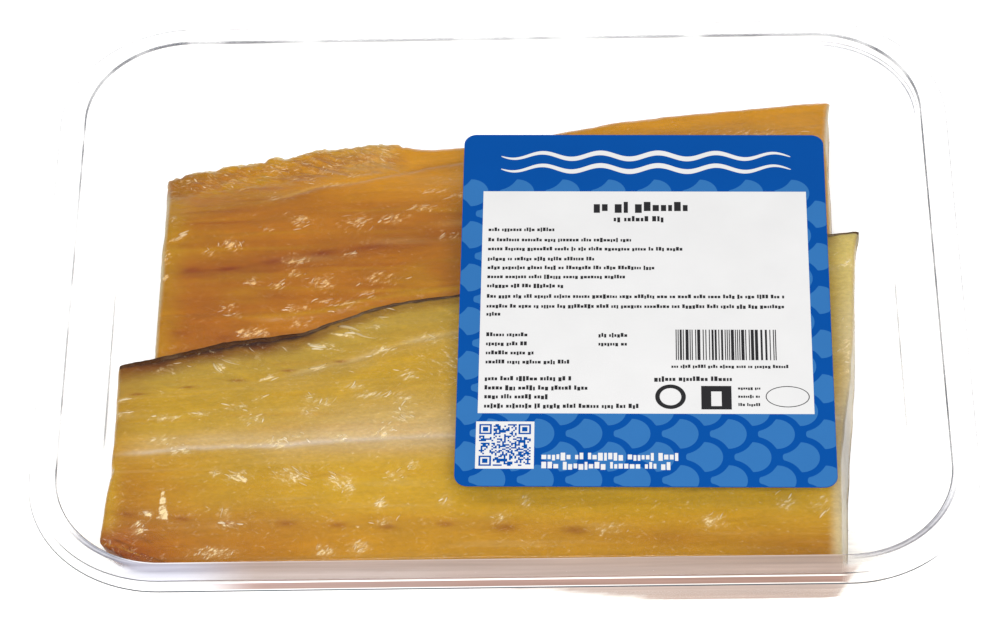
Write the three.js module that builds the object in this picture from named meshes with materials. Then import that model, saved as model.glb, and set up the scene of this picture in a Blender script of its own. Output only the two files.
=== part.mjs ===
// A shallow clear tray of smoked cod, closed by a clear lid film with a label stuck on it.
// Two fillets lie inside, skin side down, the front one resting on the edge of the back one.
// Millimetres, +Z up. The origin is the middle of the tray's underside, on the surface it stands on,
// with +X along the tray and +Y away from the viewer.
import * as THREE from 'three';

// Tray: a thermoformed shell with a sealing flange and a turned-down lip
const trayLength = 227;
const trayWidth = 178;
const trayHeight = 30;
const wallThickness = 0.6;
const flangeWidth = 5.4;
const lipFlare = 1.5;
const lipDrop = 2.6;
const mouthCornerRadius = 26;
const baseCornerRadius = 24;
const ledgeDepth = 3;
const ledgeWidth = 1.1;
const wallLean = 5.5;
const baseBendRadius = 3.5;
const cornerSteps = 10;

// Lid film and label
const filmThickness = 0.12;
const filmEdgeGap = 0.4;
const layerGap = 0.03;
const labelWidth = 91;
const labelHeight = 110.3;
const labelThickness = 0.15;
const labelCornerRadius = 3.2;
const labelCentre = new THREE.Vector2(34.8, -7.3);
const labelTurn = THREE.MathUtils.degToRad(-1.15);

// Fillets: what both share
const lieGap = 0.3;
const wallGap = 0.15;
const overlapGap = 0.7;
const stationCount = 58;
const topPointCount = 31;
const bottomPointCount = 11;
const endRounding = 2;
const endRoundDepth = 0.8;
// Height over which the cut ends lean by their full amount
const leanHeight = 20;

// Half sizes and corner radius of the tray's mouth, from which every other ring is stepped off
const mouthHalfLength = trayLength / 2 - lipFlare - flangeWidth;
const mouthHalfWidth = trayWidth / 2 - lipFlare - flangeWidth;
const floorTop = wallThickness;

const clamp = THREE.MathUtils.clamp;
const mix = THREE.MathUtils.lerp;
const bell = (value, centre, width) => Math.exp(-(((value - centre) / width) ** 2));

// One rounded-rectangle loop, counter-clockwise from above. inset is measured inwards from the mouth.
function trayRing(inset, z, radius) {
  const halfLength = mouthHalfLength - inset;
  const halfWidth = mouthHalfWidth - inset;
  const ring = [];
  const corners = [[1, -1], [1, 1], [-1, 1], [-1, -1]];
  corners.forEach(([sideX, sideY], corner) => {
    const startAngle = -Math.PI / 2 + corner * Math.PI / 2;
    for (let step = 0; step <= cornerSteps; step++) {
      const angle = startAngle + (step / cornerSteps) * Math.PI / 2;
      ring.push(new THREE.Vector3(
        sideX * (halfLength - radius) + radius * Math.cos(angle),
        sideY * (halfWidth - radius) + radius * Math.sin(angle),
        z,
      ));
    }
  });
  return ring;
}

// A closed solid through rings of equal length. Each end is closed by its own triangulated face.
function loft(rings, flatten) {
  const size = rings[0].length;
  const positions = rings.flat().flatMap((point) => [point.x, point.y, point.z]);
  const triangles = [];
  for (let r = 0; r < rings.length - 1; r++) {
    for (let i = 0; i < size; i++) {
      const next = (i + 1) % size;
      const a = r * size + i;
      const b = r * size + next;
      const c = (r + 1) * size + next;
      const d = (r + 1) * size + i;
      triangles.push(a, b, c, a, c, d);
    }
  }
  const last = (rings.length - 1) * size;
  const capOf = (ring) => THREE.ShapeUtils.triangulateShape(ring.map(flatten), []);
  for (const [a, b, c] of capOf(rings[0])) triangles.push(a, c, b);
  for (const [a, b, c] of capOf(rings[rings.length - 1])) triangles.push(last + a, last + b, last + c);
  const geometry = new THREE.BufferGeometry();
  geometry.setAttribute('position', new THREE.Float32BufferAttribute(positions, 3));
  geometry.setIndex(triangles);
  geometry.computeVertexNormals();
  return geometry;
}

// Inset of the tray's inner face at a height above the table, bend at the floor included
function wallInset(z) {
  const wallTop = trayHeight - ledgeDepth;
  const wallFoot = floorTop + baseBendRadius;
  if (z > wallTop) return 0;
  if (z > wallFoot) return ledgeWidth + wallLean * (wallTop - z) / (wallTop - wallFoot);
  const angle = Math.acos(clamp(1 - (z - floorTop) / baseBendRadius, -1, 1));
  return ledgeWidth + wallLean + baseBendRadius * (1 - Math.sin(angle));
}

// Where a point of the food ends up when the tray's wall stops it
function keepInTray(x, y, z) {
  const inset = wallInset(z) + lieGap + wallGap;
  const radius = baseCornerRadius - lieGap;
  const boxX = mouthHalfLength - inset - radius;
  const boxY = mouthHalfWidth - inset - radius;
  const pastX = Math.max(Math.abs(x) - boxX, 0);
  const pastY = Math.max(Math.abs(y) - boxY, 0);
  const past = Math.hypot(pastX, pastY);
  const keep = past > radius ? radius / past : 1;
  return new THREE.Vector3(
    Math.sign(x) * (Math.abs(x) - pastX * (1 - keep)),
    Math.sign(y) * (Math.abs(y) - pastY * (1 - keep)),
    z,
  );
}

// The shell: along the underside, up the outside, over the lip, and back down the inside to the floor
function trayGeometry() {
  const t = wallThickness;
  const wallTop = trayHeight - ledgeDepth;
  const baseInset = ledgeWidth + wallLean;
  const rings = [];
  const add = (inset, z, radius) => rings.push(trayRing(inset, z, radius));
  const bend = [0, 0.33, 0.67, 1].map((share) => share * Math.PI / 2);
  // Underside and outer bend
  for (const angle of bend) {
    const r = baseBendRadius + t;
    add(baseInset - t + r * (1 - Math.sin(angle)), r * (1 - Math.cos(angle)), baseCornerRadius);
  }
  // Outside of the wall, its ledge, and the underside of the flange
  add(ledgeWidth - t, wallTop - t, mouthCornerRadius - ledgeWidth + t);
  add(-t, wallTop, mouthCornerRadius + t);
  add(-t, trayHeight - t * 2, mouthCornerRadius + t);
  add(-t * 2, trayHeight - t, mouthCornerRadius + t * 2);
  add(t - flangeWidth, trayHeight - t, mouthCornerRadius + flangeWidth - t);
  // The lip turns down and out, then back over its own edge
  add(t - flangeWidth - lipFlare, trayHeight - lipDrop, mouthCornerRadius + flangeWidth + lipFlare - t);
  add(-flangeWidth - lipFlare, trayHeight - lipDrop, mouthCornerRadius + flangeWidth + lipFlare);
  add(-flangeWidth - t, trayHeight - t * 0.8, mouthCornerRadius + flangeWidth + t);
  add(-flangeWidth + t * 0.4, trayHeight, mouthCornerRadius + flangeWidth - t * 0.4);
  // Top of the flange, mouth, and down the inside
  add(-t * 1.2, trayHeight, mouthCornerRadius + t * 1.2);
  add(-t * 0.3, trayHeight - t * 0.4, mouthCornerRadius + t * 0.3);
  add(0, trayHeight - t * 1.4, mouthCornerRadius);
  add(t * 0.2, wallTop, mouthCornerRadius);
  add(ledgeWidth, wallTop - t * 0.3, mouthCornerRadius - ledgeWidth);
  for (const angle of bend.slice().reverse()) {
    const r = baseBendRadius;
    add(baseInset + r * (1 - Math.sin(angle)), floorTop + r * (1 - Math.cos(angle)), baseCornerRadius);
  }
  return loft(rings, (point) => new THREE.Vector2(point.x, point.y));
}

// A rounded rectangle standing on z = 0, centred on the origin
function plateGeometry(length, width, radius, thickness) {
  const outline = new THREE.Shape();
  const x = length / 2;
  const y = width / 2;
  outline.moveTo(-x + radius, -y);
  outline.lineTo(x - radius, -y);
  outline.absarc(x - radius, -y + radius, radius, -Math.PI / 2, 0);
  outline.absarc(x - radius, y - radius, radius, 0, Math.PI / 2);
  outline.absarc(-x + radius, y - radius, radius, Math.PI / 2, Math.PI);
  outline.absarc(-x + radius, -y + radius, radius, Math.PI, Math.PI * 1.5);
  return new THREE.ExtrudeGeometry(outline, {
    depth: thickness, bevelEnabled: false, curveSegments: cornerSteps,
  });
}

// A smooth edge line through a few places, read as y at any x
function edgeLine(places) {
  return (x) => {
    const last = places.length - 1;
    let i = places.findIndex(([placeX]) => placeX > x) - 1;
    if (i === -2) i = last - 1;
    i = clamp(i, 0, last - 1);
    const [x0, y0] = places[i];
    const [x1, y1] = places[i + 1];
    const slopeAt = (k) => {
      const [xa, ya] = places[Math.max(k - 1, 0)];
      const [xb, yb] = places[Math.min(k + 1, last)];
      return (yb - ya) / (xb - xa);
    };
    const span = x1 - x0;
    const s = clamp((x - x0) / span, 0, 1);
    const s2 = s * s;
    const s3 = s2 * s;
    return (2 * s3 - 3 * s2 + 1) * y0 + (s3 - 2 * s2 + s) * span * slopeAt(i)
      + (3 * s2 - 2 * s3) * y1 + (s3 - s2) * span * slopeAt(i + 1);
  };
}

// How full a rounded side is at a distance from the edge: 0 at the edge, 1 from the radius inwards
function shoulder(distance, radius) {
  const left = 1 - clamp(distance / radius, 0, 1);
  return Math.sqrt(1 - left * left);
}

// Back fillet: it lies flat on the floor, thin and craggy along its far edge.
// Edge lines give y at an x, end lines give x at a y, both at the foot of the fillet. Leans are how far the
// cut ends draw in over the lean height, at a y.
const back = {
  farEdge: edgeLine([[-90, 54.6], [-86, 55.9], [-80, 57.9], [-73, 59.4], [-67, 60.7], [-60, 61.8],
    [-57, 62.2], [-54, 63.6], [-48, 65], [-41, 65.2], [-35, 66.1], [-30, 65.7], [-26, 64.4], [-22, 63.7],
    [-10, 64.3], [10, 68], [28, 71.5], [36, 72.8], [48, 74], [60, 75.1], [72, 76.4], [90, 77.4]]),
  nearEdge: edgeLine([[-90, -31], [-40, -18], [20, -10], [90, 2]]),
  leftEnd: edgeLine([[-40, -89], [1, -88.5], [32, -88.2], [60, -88]]),
  rightEnd: edgeLine([[-20, 83], [40, 84.6], [66, 85.4], [80, 87.2]]),
  leftLean: () => 2.4,
  rightLean: () => 2,
};

// Front fillet: its far edge rides up on the back fillet, its near side fills the tray's front, and its near
// left corner is angular
const front = {
  farEdge: edgeLine([[-100, -13.2], [-95, -12.6], [-86, -10.9], [-77, -8.4], [-69, -6.4], [-58, -4.8],
    [-51, -3.7], [-42, -0.3], [-38, 1.1], [-29.5, 3.7], [-19, 5.3], [-12, 6.2], [30, 13.8], [80, 22.2],
    [90, 23.6]]),
  nearEdge: () => -76.8,
  leftEnd: edgeLine([[-76.8, -87.5], [-75.2, -88.6], [-73.2, -91.8], [-71.4, -93.8], [-69.8, -96.6],
    [-68.4, -98.7], [-66.5, -98.9], [-63, -98.6], [-58, -98.3], [-52, -97.6], [-48.5, -96.9], [-46.5, -97.4],
    [-40, -97.1], [-25, -97.1], [10, -97.6]]),
  rightEnd: edgeLine([[-76, 82.2], [-62, 82.9], [-47, 83.5], [-38, 84.1], [-30, 85], [-21, 86.5], [-11, 87.7],
    [3, 88.5], [14, 89.3], [19, 90], [23, 90.8], [38, 91]]),
  leftLean: () => 2.5,
  rightLean: edgeLine([[-76, 2.4], [-60, 2.6], [-46, 2.8], [-38, 2.6], [-25, 2], [-8, 1.6], [30, 1.3]]),
  farEdgeThickness: 3.6,
};

// The groove where the two halves of the front fillet's muscle meet
const seamLine = edgeLine([[-98, -45.6], [-86, -44.9], [-73, -44], [-52, -43.2], [-40, -42], [-25, -41.3],
  [-12, -40.7], [90, -36]]);

// Slow swells and slanting flake steps, in millimetres of height
function flakes(x, y, slant, pitch) {
  const along = (x * Math.sin(slant) + y * Math.cos(slant)) / pitch + 0.35 * Math.sin(x * 0.11 + y * 0.07);
  const phase = along - Math.floor(along);
  const step = Math.min(phase / 0.3, (1 - phase) / 0.7);
  return 0.22 * step + 0.2 * Math.sin(x * 0.13 + y * 0.31) * Math.sin(y * 0.22 - x * 0.05);
}

// Thickness of the back fillet without its relief: thin at the far edge, pressed down under the front one
function backBody(x, y) {
  const far = back.farEdge(x);
  const near = back.nearEdge(x);
  const share = (y - near) / (far - near);
  const thick = mix(9.6, 15.8, THREE.MathUtils.smoothstep(far - y, 2, 26));
  const pressed = 6 * (1 - THREE.MathUtils.smoothstep(share, 0, 0.34));
  const wedge = 1.2 * (x / 90);
  return thick + wedge - pressed;
}

// Top of the back fillet above the table, without its rounded sides
function backTop(x, y) {
  const far = back.farEdge(x);
  const bones = 17.6 + 0.21 * (x + 90) + 0.0006 * (x + 90) ** 2;
  const groove = 0.35 * bell(y, bones, 2) + 0.25 * bell(y, far - 14, 1.6);
  const torn = bell(far - y, 4, 5) * (1 - THREE.MathUtils.smoothstep(x, -31, -23));
  const wander = x * 0.71 + 2.1 * Math.sin(x * 0.23 + y * 0.4);
  const crag = 0.6 * torn * Math.sin(wander) * Math.sin(y * 0.9 + x * 0.3);
  const inTheOpen = THREE.MathUtils.smoothstep(y - front.farEdge(x), -2, 4);
  const relief = crag - groove + flakes(x, y, 0.42, 10);
  return floorTop + lieGap + backBody(x, y) + relief * inTheOpen;
}

// Top of the front fillet above the table, without its rounded sides
function frontTop(x, y) {
  const far = front.farEdge(x);
  const near = front.nearEdge(x);
  const share = (y - near) / (far - near);
  const crown = 21.6 + 1.4 * Math.sin(Math.PI * clamp((x + 95) / 180, 0, 1));
  const nearSlope = 3.4 * (1 - THREE.MathUtils.smoothstep(share, 0.04, 0.36));
  const farTop = frontUnderside(x, far) + front.farEdgeThickness;
  const farShare = THREE.MathUtils.smoothstep(share, 0.5, 1);
  const seam = 0.4 * bell(y, seamLine(x), 1.8);
  const slant = y > seamLine(x) ? 0.49 : -0.6;
  return mix(crown - nearSlope, farTop, farShare) - seam + flakes(x, y, slant, 9);
}

// Underside of the front fillet: the floor, then a smooth rise onto the back fillet
function frontUnderside(x, y) {
  const rest = floorTop + lieGap;
  const carried = rest + backBody(x, y) + overlapGap;
  return mix(rest, carried, THREE.MathUtils.smoothstep(y - back.nearEdge(x), -16, 1));
}

// One fillet as a loft of cross-sections from its left end to its right end
function filletGeometry(fillet, topOf, undersideOf, sides) {
  const rings = [];
  const startX = fillet.leftEnd(0);
  const endX = fillet.rightEnd(0);
  for (let station = 0; station <= stationCount; station++) {
    const along = station / stationCount;
    // Stations crowd towards both ends, where the cut edges round over
    const u = mix(along, (1 - Math.cos(Math.PI * along)) / 2, 0.35);
    const middleX = mix(startX, endX, u);
    const far = fillet.farEdge(middleX);
    const near = fillet.nearEdge(middleX);
    const place = (s, isTop) => {
      const share = mix(s, (1 - Math.cos(Math.PI * s)) / 2, 0.7);
      const y = mix(near, far, share);
      const flatX = mix(fillet.leftEnd(y), fillet.rightEnd(y), u);
      const underside = undersideOf(flatX, y);
      const top = topOf(flatX, y);
      const fromEnd = Math.min(middleX - startX, endX - middleX);
      const endDrop = endRoundDepth * (1 - shoulder(fromEnd, endRounding));
      const sideHeight = mix(underside, top, sides.bulge);
      const nearRound = shoulder(y - near, isTop ? sides.nearTop : sides.nearUnder);
      const farRound = shoulder(far - y, isTop ? sides.farTop : sides.farUnder);
      const full = nearRound * farRound;
      const z = isTop ? mix(sideHeight, top - endDrop, full) : mix(sideHeight, underside, full);
      const height = (z - floorTop) / leanHeight;
      const left = fillet.leftEnd(y) + fillet.leftLean(y) * height;
      const right = fillet.rightEnd(y) - fillet.rightLean(y) * height;
      return keepInTray(mix(left, right, u), y, z);
    };
    const ring = [];
    for (let i = 1; i <= bottomPointCount; i++) ring.push(place(i / (bottomPointCount + 1), false));
    for (let i = topPointCount - 1; i >= 0; i--) ring.push(place(i / (topPointCount - 1), true));
    rings.push(ring);
  }
  return loft(rings, (point) => new THREE.Vector2(point.y, point.z));
}

function part(name, geometry, colour, roughness, opacity = 1) {
  const material = new THREE.MeshStandardMaterial({
    color: colour, roughness, metalness: 0, transparent: opacity < 1, opacity,
  });
  const mesh = new THREE.Mesh(geometry, material);
  mesh.name = name;
  return mesh;
}

const pack = new THREE.Group();

pack.add(part('tray', trayGeometry(), 0xe9edf0, 0.08, 0.25));

const filmLength = 2 * (mouthHalfLength + flangeWidth - filmEdgeGap);
const filmWidth = 2 * (mouthHalfWidth + flangeWidth - filmEdgeGap);
const filmRadius = mouthCornerRadius + flangeWidth - filmEdgeGap;
const filmPlate = plateGeometry(filmLength, filmWidth, filmRadius, filmThickness);
const film = part('lid_film', filmPlate, 0xf2f5f7, 0.05, 0.15);
film.position.z = trayHeight + layerGap;
pack.add(film);

const labelPlate = plateGeometry(labelWidth, labelHeight, labelCornerRadius, labelThickness);
const label = part('label', labelPlate, 0x1557a8, 0.4);
label.position.set(labelCentre.x, labelCentre.y, trayHeight + filmThickness + 2 * layerGap);
label.rotation.z = labelTurn;
pack.add(label);

const backSides = { bulge: 0.45, nearTop: 9, nearUnder: 4, farTop: 4, farUnder: 3 };
const backUnderside = () => floorTop + lieGap;
pack.add(part('fillet_back', filletGeometry(back, backTop, backUnderside, backSides), 0xb8741f, 0.35));

const frontSides = { bulge: 0.3, nearTop: 3, nearUnder: 2.4, farTop: 2.4, farUnder: 2 };
pack.add(part('fillet_front', filletGeometry(front, frontTop, frontUnderside, frontSides), 0xc4952f, 0.35));

export default pack;
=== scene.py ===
import math

import bmesh
import bpy
import numpy as np
from mathutils import Matrix, Vector


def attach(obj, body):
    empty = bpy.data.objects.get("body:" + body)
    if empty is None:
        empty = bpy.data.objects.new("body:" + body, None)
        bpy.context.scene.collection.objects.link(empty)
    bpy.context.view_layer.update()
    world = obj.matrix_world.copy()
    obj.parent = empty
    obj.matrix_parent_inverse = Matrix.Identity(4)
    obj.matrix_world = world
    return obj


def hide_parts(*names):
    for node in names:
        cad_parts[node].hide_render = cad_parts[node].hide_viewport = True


# Tray pack of smoked cod. Shapes are worked out in millimetres and go into the meshes in metres.
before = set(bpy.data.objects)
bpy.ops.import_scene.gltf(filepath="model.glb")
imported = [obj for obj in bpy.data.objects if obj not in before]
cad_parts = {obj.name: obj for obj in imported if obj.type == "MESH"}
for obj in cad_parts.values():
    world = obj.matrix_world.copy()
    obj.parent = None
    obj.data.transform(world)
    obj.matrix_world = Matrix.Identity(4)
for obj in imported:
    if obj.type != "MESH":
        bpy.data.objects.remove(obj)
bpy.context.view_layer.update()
mm = 0.001
print("stage: frame loaded, nodes", sorted(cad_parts))


# Numbers and curves

def mix(a, b, share):
    return a + (b - a) * share


def smoothStep(value, low, high):
    # 0 below low, 1 above high, an S curve 3t^2 - 2t^3 between
    t = np.clip((value - low) / (high - low), 0, 1)
    return t * t * (3 - 2 * t)


def fade(value, low, high):
    # The other way round: 1 below low, 0 above high
    return 1 - smoothStep(value, low, high)


def bell(value, centre, width):
    # e to the minus square of the distance from centre, counted in widths
    return np.exp(-((value - centre) / width) ** 2)


def spots(x, y, rows):
    # Soft oval spots. Each row: strength, middle x, width in x, middle y, width in y
    return sum(strength * bell(x, middleX, widthX) * bell(y, middleY, widthY)
               for strength, middleX, widthX, middleY, widthY in rows)


def shoulder(distance, radius):
    # Quarter circle: 0 at the edge, 1 from the radius inwards
    left = 1 - np.clip(distance / radius, 0, 1)
    return np.sqrt(1 - left * left)


def curveThrough(places):
    # Smooth line through a few (x, y) places: cubic pieces whose slope at a place is that of its neighbours
    xs, ys = np.array(places, float).T
    slopes = np.empty_like(ys)
    slopes[1:-1] = (ys[2:] - ys[:-2]) / (xs[2:] - xs[:-2])
    slopes[0] = (ys[1] - ys[0]) / (xs[1] - xs[0])
    slopes[-1] = (ys[-1] - ys[-2]) / (xs[-1] - xs[-2])

    def line(x):
        i = np.clip(np.searchsorted(xs, x, side="right") - 1, 0, len(xs) - 2)
        span = xs[i + 1] - xs[i]
        s = np.clip((x - xs[i]) / span, 0, 1)
        s2 = s * s
        s3 = s2 * s
        return ((2 * s3 - 3 * s2 + 1) * ys[i] + (s3 - 2 * s2 + s) * span * slopes[i]
                + (3 * s2 - 2 * s3) * ys[i + 1] + (s3 - s2) * span * slopes[i + 1])
    return line


def patchNoise(x, y, seed):
    # Random values in -1..1 at whole numbers of x and y, blended by smooth steps between them
    table = np.random.default_rng(seed).uniform(-1, 1, (64, 64))
    column = np.floor(x).astype(int)
    row = np.floor(y).astype(int)
    sx = x - column
    sy = y - row
    sx = sx * sx * (3 - 2 * sx)
    sy = sy * sy * (3 - 2 * sy)
    low = mix(table[column % 64, row % 64], table[(column + 1) % 64, row % 64], sx)
    high = mix(table[column % 64, (row + 1) % 64], table[(column + 1) % 64, (row + 1) % 64], sx)
    return mix(low, high, sy)


def roughNoise(x, y, seed, layers=3):
    # Patch noise summed over layers, each half as wide and half as strong as the one before
    total = 0
    for layer in range(layers):
        total = total + patchNoise(x * 2 ** layer, y * 2 ** layer, seed + layer) / 2 ** layer
    return total / 1.6


# Meshes

def gridFaces(rows, columns, wrap=False):
    # Quads between neighbouring rows and columns of a grid; wrap joins the last column to the first
    number = np.arange(rows * columns).reshape(rows, columns)
    if wrap:
        number = np.hstack([number, number[:, :1]])
    a = number[:-1, :-1]
    b = number[:-1, 1:]
    c = number[1:, 1:]
    d = number[1:, :-1]
    return np.stack([a, b, c, d], axis=-1).reshape(-1, 4)


def meshPiece(name, points, faces, node, smooth=True, extraFaces=()):
    # Points in millimetres. faces is an array of quads, extraFaces are lists of any length
    mesh = bpy.data.meshes.new(name)
    allFaces = [list(face) for face in faces.tolist()] + [list(face) for face in extraFaces]
    mesh.from_pydata((np.asarray(points) * mm).tolist(), [], allFaces)
    mesh.polygons.foreach_set("use_smooth", np.full(len(mesh.polygons), smooth))
    mesh.update()
    mesh.validate()
    piece = bpy.data.objects.new(name, mesh)
    bpy.context.scene.collection.objects.link(piece)
    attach(piece, "root")
    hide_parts(node)
    return piece


def loopPiece(name, loops, node):
    # A closed skin over a stack of loops, with a flat cap on the first and the last one
    size = len(loops[0])
    last = (len(loops) - 1) * size
    caps = [list(range(size - 1, -1, -1)), list(range(last, last + size))]
    faces = gridFaces(len(loops), size, wrap=True)
    return meshPiece(name, np.vstack(loops), faces, node, extraFaces=caps)


def paintPoints(piece, name, values):
    # One colour or one number for each point, for the piece's own material
    values = np.asarray(values, float)
    if values.ndim == 2:
        layer = piece.data.attributes.new(name, "FLOAT_COLOR", "POINT")
        withAlpha = np.hstack([values, np.ones((len(values), 1))])
        layer.data.foreach_set("color", withAlpha.ravel())
    else:
        layer = piece.data.attributes.new(name, "FLOAT", "POINT")
        layer.data.foreach_set("value", values.ravel())


# Node materials

def newMaterial(name):
    material = bpy.data.materials.new(name)
    material.use_nodes = True
    tree = material.node_tree
    return material, tree, tree.nodes["Principled BSDF"]


def plugIn(tree, node, inputs):
    # Links or fixed values by socket name; a fixed value is set on the node's own socket
    for key, value in inputs.items():
        if isinstance(value, bpy.types.NodeSocket):
            tree.links.new(value, node.inputs[key])
        else:
            node.inputs[key].default_value = value


def addNode(tree, kind, inputs, output, **settings):
    # The named output of a new node of that kind
    node = tree.nodes.new(kind)
    for key, value in settings.items():
        setattr(node, key, value)
    plugIn(tree, node, inputs)
    return node.outputs[output]


def objectPlace(tree, perMetre, turn=0.0):
    # Object coordinates turned about Z and then scaled, so that the scaling follows the turn
    place = addNode(tree, "ShaderNodeTexCoord", {}, "Object")
    inputs = {"Vector": place, "Scale": [1 / value for value in perMetre],
              "Rotation": (0, 0, math.radians(turn))}
    return addNode(tree, "ShaderNodeMapping", inputs, "Vector", vector_type="TEXTURE")


def noiseOf(tree, perMetre, detail=2.0, roughness=0.5, turn=0.0):
    # Soft noise with so many patches in a metre along X, Y and Z
    inputs = {"Vector": objectPlace(tree, perMetre, turn), "Scale": 1.0, "Detail": detail,
              "Roughness": roughness}
    return addNode(tree, "ShaderNodeTexNoise", inputs, "Fac")


def attributeOf(tree, name, output="Fac"):
    return addNode(tree, "ShaderNodeAttribute", {}, output, attribute_name=name)


def remap(tree, value, fromLow, fromHigh, toLow, toHigh):
    inputs = {"Value": value, "From Min": fromLow, "From Max": fromHigh, "To Min": toLow, "To Max": toHigh}
    return addNode(tree, "ShaderNodeMapRange", inputs, "Result")


def combine(tree, operation, a, b):
    return addNode(tree, "ShaderNodeMath", {0: a, 1: b}, 0, operation=operation)


def scaleColour(tree, colour, factor):
    return addNode(tree, "ShaderNodeVectorMath", {0: colour, "Scale": factor}, "Vector", operation="SCALE")


def mixColours(tree, amount, a, b):
    # The first colour where the amount is 0, the second where it is 1
    return addNode(tree, "ShaderNodeMix", {"Factor": amount, "A": a, "B": b}, "Result", data_type="RGBA")


def bumpOf(tree, height, strength, distance, **under):
    inputs = {"Height": height, "Strength": strength, "Distance": distance, **under}
    return addNode(tree, "ShaderNodeBump", inputs, "Normal")


# Camera: looks down on the pack from the front, as the photograph does
cameraView = {
    "place": (12.5, -610.4, 787.5),
    "lens": 141.88,
    "down": 51.665,
    "yaw": 1.266,
    "roll": 1.761,
}


def makeCamera(view):
    down, yaw, roll = (math.radians(view[key]) for key in ("down", "yaw", "roll"))
    turn = Matrix.Rotation(yaw, 3, "Z")
    right = turn @ Vector((1, 0, 0))
    ahead = turn @ Vector((0, math.cos(down), -math.sin(down)))
    below = turn @ Vector((0, -math.sin(down), -math.cos(down)))
    rolledRight = right * math.cos(roll) + below * math.sin(roll)
    rolledBelow = below * math.cos(roll) - right * math.sin(roll)
    axes = Matrix((rolledRight, -rolledBelow, -ahead)).transposed()
    data = bpy.data.cameras.new("camera")
    data.lens = view["lens"]
    data.sensor_width = 36
    data.clip_start = 0.01
    camera = bpy.data.objects.new("camera", data)
    camera.matrix_world = Matrix.Translation(Vector(view["place"]) * mm) @ axes.to_4x4()
    bpy.context.scene.collection.objects.link(camera)
    bpy.context.scene.camera = camera


makeCamera(cameraView)
print("stage: camera")


# Studio: pale floor, soft light from above and from the front, and a weak one from behind
studio = {
    "floorColour": (0.93, 0.93, 0.93), "floorGlow": 0.3, "floorHalf": 3000, "floorDrop": 0.3,
    "skyColour": (1.0, 1.0, 1.0), "sky": 0.42,
    # name, place, size in x and y, watts, colour
    "lamps": [
        ("top", (-40, -190, 1000), (820, 230), 2.9, (1.0, 0.985, 0.96)),
        ("back", (700, 1000, 500), (700, 700), 1.0, (1.0, 1.0, 1.0)),
        ("front", (0, -760, 1000), (900, 260), 13.6, (1.0, 0.995, 0.985)),
    ],
}


def makeStudio(values):
    scene = bpy.context.scene
    scene.view_settings.view_transform = "Standard"
    scene.cycles.transparent_max_bounces = 24
    scene.world = bpy.data.worlds.new("studio")
    scene.world.use_nodes = True
    skyTree = scene.world.node_tree
    sky = {"Color": (*values["skyColour"], 1), "Strength": values["sky"]}
    plugIn(skyTree, skyTree.nodes["Background"], sky)
    for name, place, size, watts, colour in values["lamps"]:
        data = bpy.data.lights.new(name, "AREA")
        data.shape = "RECTANGLE"
        data.size = size[0] * mm
        data.size_y = size[1] * mm
        data.energy = watts
        data.color = colour
        lamp = bpy.data.objects.new(name, data)
        lamp.location = Vector(place) * mm
        lamp.rotation_euler = (-Vector(place)).to_track_quat("-Z", "Y").to_euler()
        scene.collection.objects.link(lamp)
    mesh = bpy.data.meshes.new("floor")
    half = values["floorHalf"] * mm
    low = -values["floorDrop"] * mm
    corners = [(-half, -half, low), (half, -half, low), (half, half, low), (-half, half, low)]
    mesh.from_pydata(corners, [], [(0, 1, 2, 3)])
    floor = bpy.data.objects.new("floor", mesh)
    scene.collection.objects.link(floor)
    material, tree, shader = newMaterial("pale floor")
    shade = remap(tree, noiseOf(tree, (6, 6, 6)), 0, 1, 0.99, 1.01)
    plugIn(tree, shader, {"Base Color": scaleColour(tree, values["floorColour"], shade), "Roughness": 0.7,
                          "Emission Color": (1, 1, 1, 1), "Emission Strength": values["floorGlow"]})
    mesh.materials.append(material)


makeStudio(studio)
print("stage: studio")


# Tray: its sizes repeat the named sizes of the frame's tray
tray = {
    "length": 227, "width": 178, "height": 30,
    "wall": 0.6, "flange": 5.4, "lipFlare": 1.5, "lipDrop": 2.6,
    "mouthCorner": 26, "baseCorner": 24,
    "ledgeDepth": 3, "ledgeWidth": 1.1, "wallLean": 5.5, "baseBend": 3.5,
    "cornerSteps": 26, "bendSteps": 4, "sideSteps": 64, "wallRows": 12, "baseRows": 13,
    "clearness": 0.006, "grazingAlpha": 0.12,
    # How a stretch of the plastic looks: red, green, blue, and how much it hides. All but clear are painted
    # light: slate, bent, line, faint, edge, foot and brown are dark painted reflection lines along the
    # bends, white and pale are painted highlight lines, frost, smoke, grey and lilac are painted reflections
    # on the near corners and the near-left flange, and pink and rose paint the fish seen through the near
    # flange and lip
    "glaze": {
        "clear": (0.95, 0.95, 0.96, 0), "white": (0.95, 0.95, 0.96, 0.96), "frost": (0.72, 0.72, 0.8, 0.9),
        "slate": (0.05, 0.055, 0.07, 1), "bent": (0.05, 0.055, 0.07, 1), "line": (0.07, 0.075, 0.1, 0.9),
        "faint": (0.16, 0.17, 0.2, 0.8), "smoke": (0.16, 0.16, 0.2, 0.9), "edge": (0.2, 0.21, 0.25, 0.95),
        "foot": (0.22, 0.23, 0.26, 0.9), "grey": (0.42, 0.43, 0.5, 0.85), "lilac": (0.47, 0.47, 0.57, 0.88),
        "pink": (0.41, 0.32, 0.285, 0.88), "rose": (0.33, 0.21, 0.18, 0.94),
        "brown": (0.26, 0.18, 0.155, 0.94), "pale": (0.6, 0.5, 0.46, 0.9),
    },
    # Painted white over the near wall, and a painted warm tint of the fish seen through it, down to a foot
    # line
    "paintedWallWhite": (0.97, 0.96, 0.95, 0.93), "paintedFishTint": (0.47, 0.36, 0.315, 0.9),
    "paintedFishTintFoot": curveThrough([(-24, 14), (-6, 11.5), (12, 9), (30, 4.5), (42, 1), (55, -1), (90, -1)]),
}
tray["mouthHalf"] = (tray["length"] / 2 - tray["lipFlare"] - tray["flange"],
                     tray["width"] / 2 - tray["lipFlare"] - tray["flange"])


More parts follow.
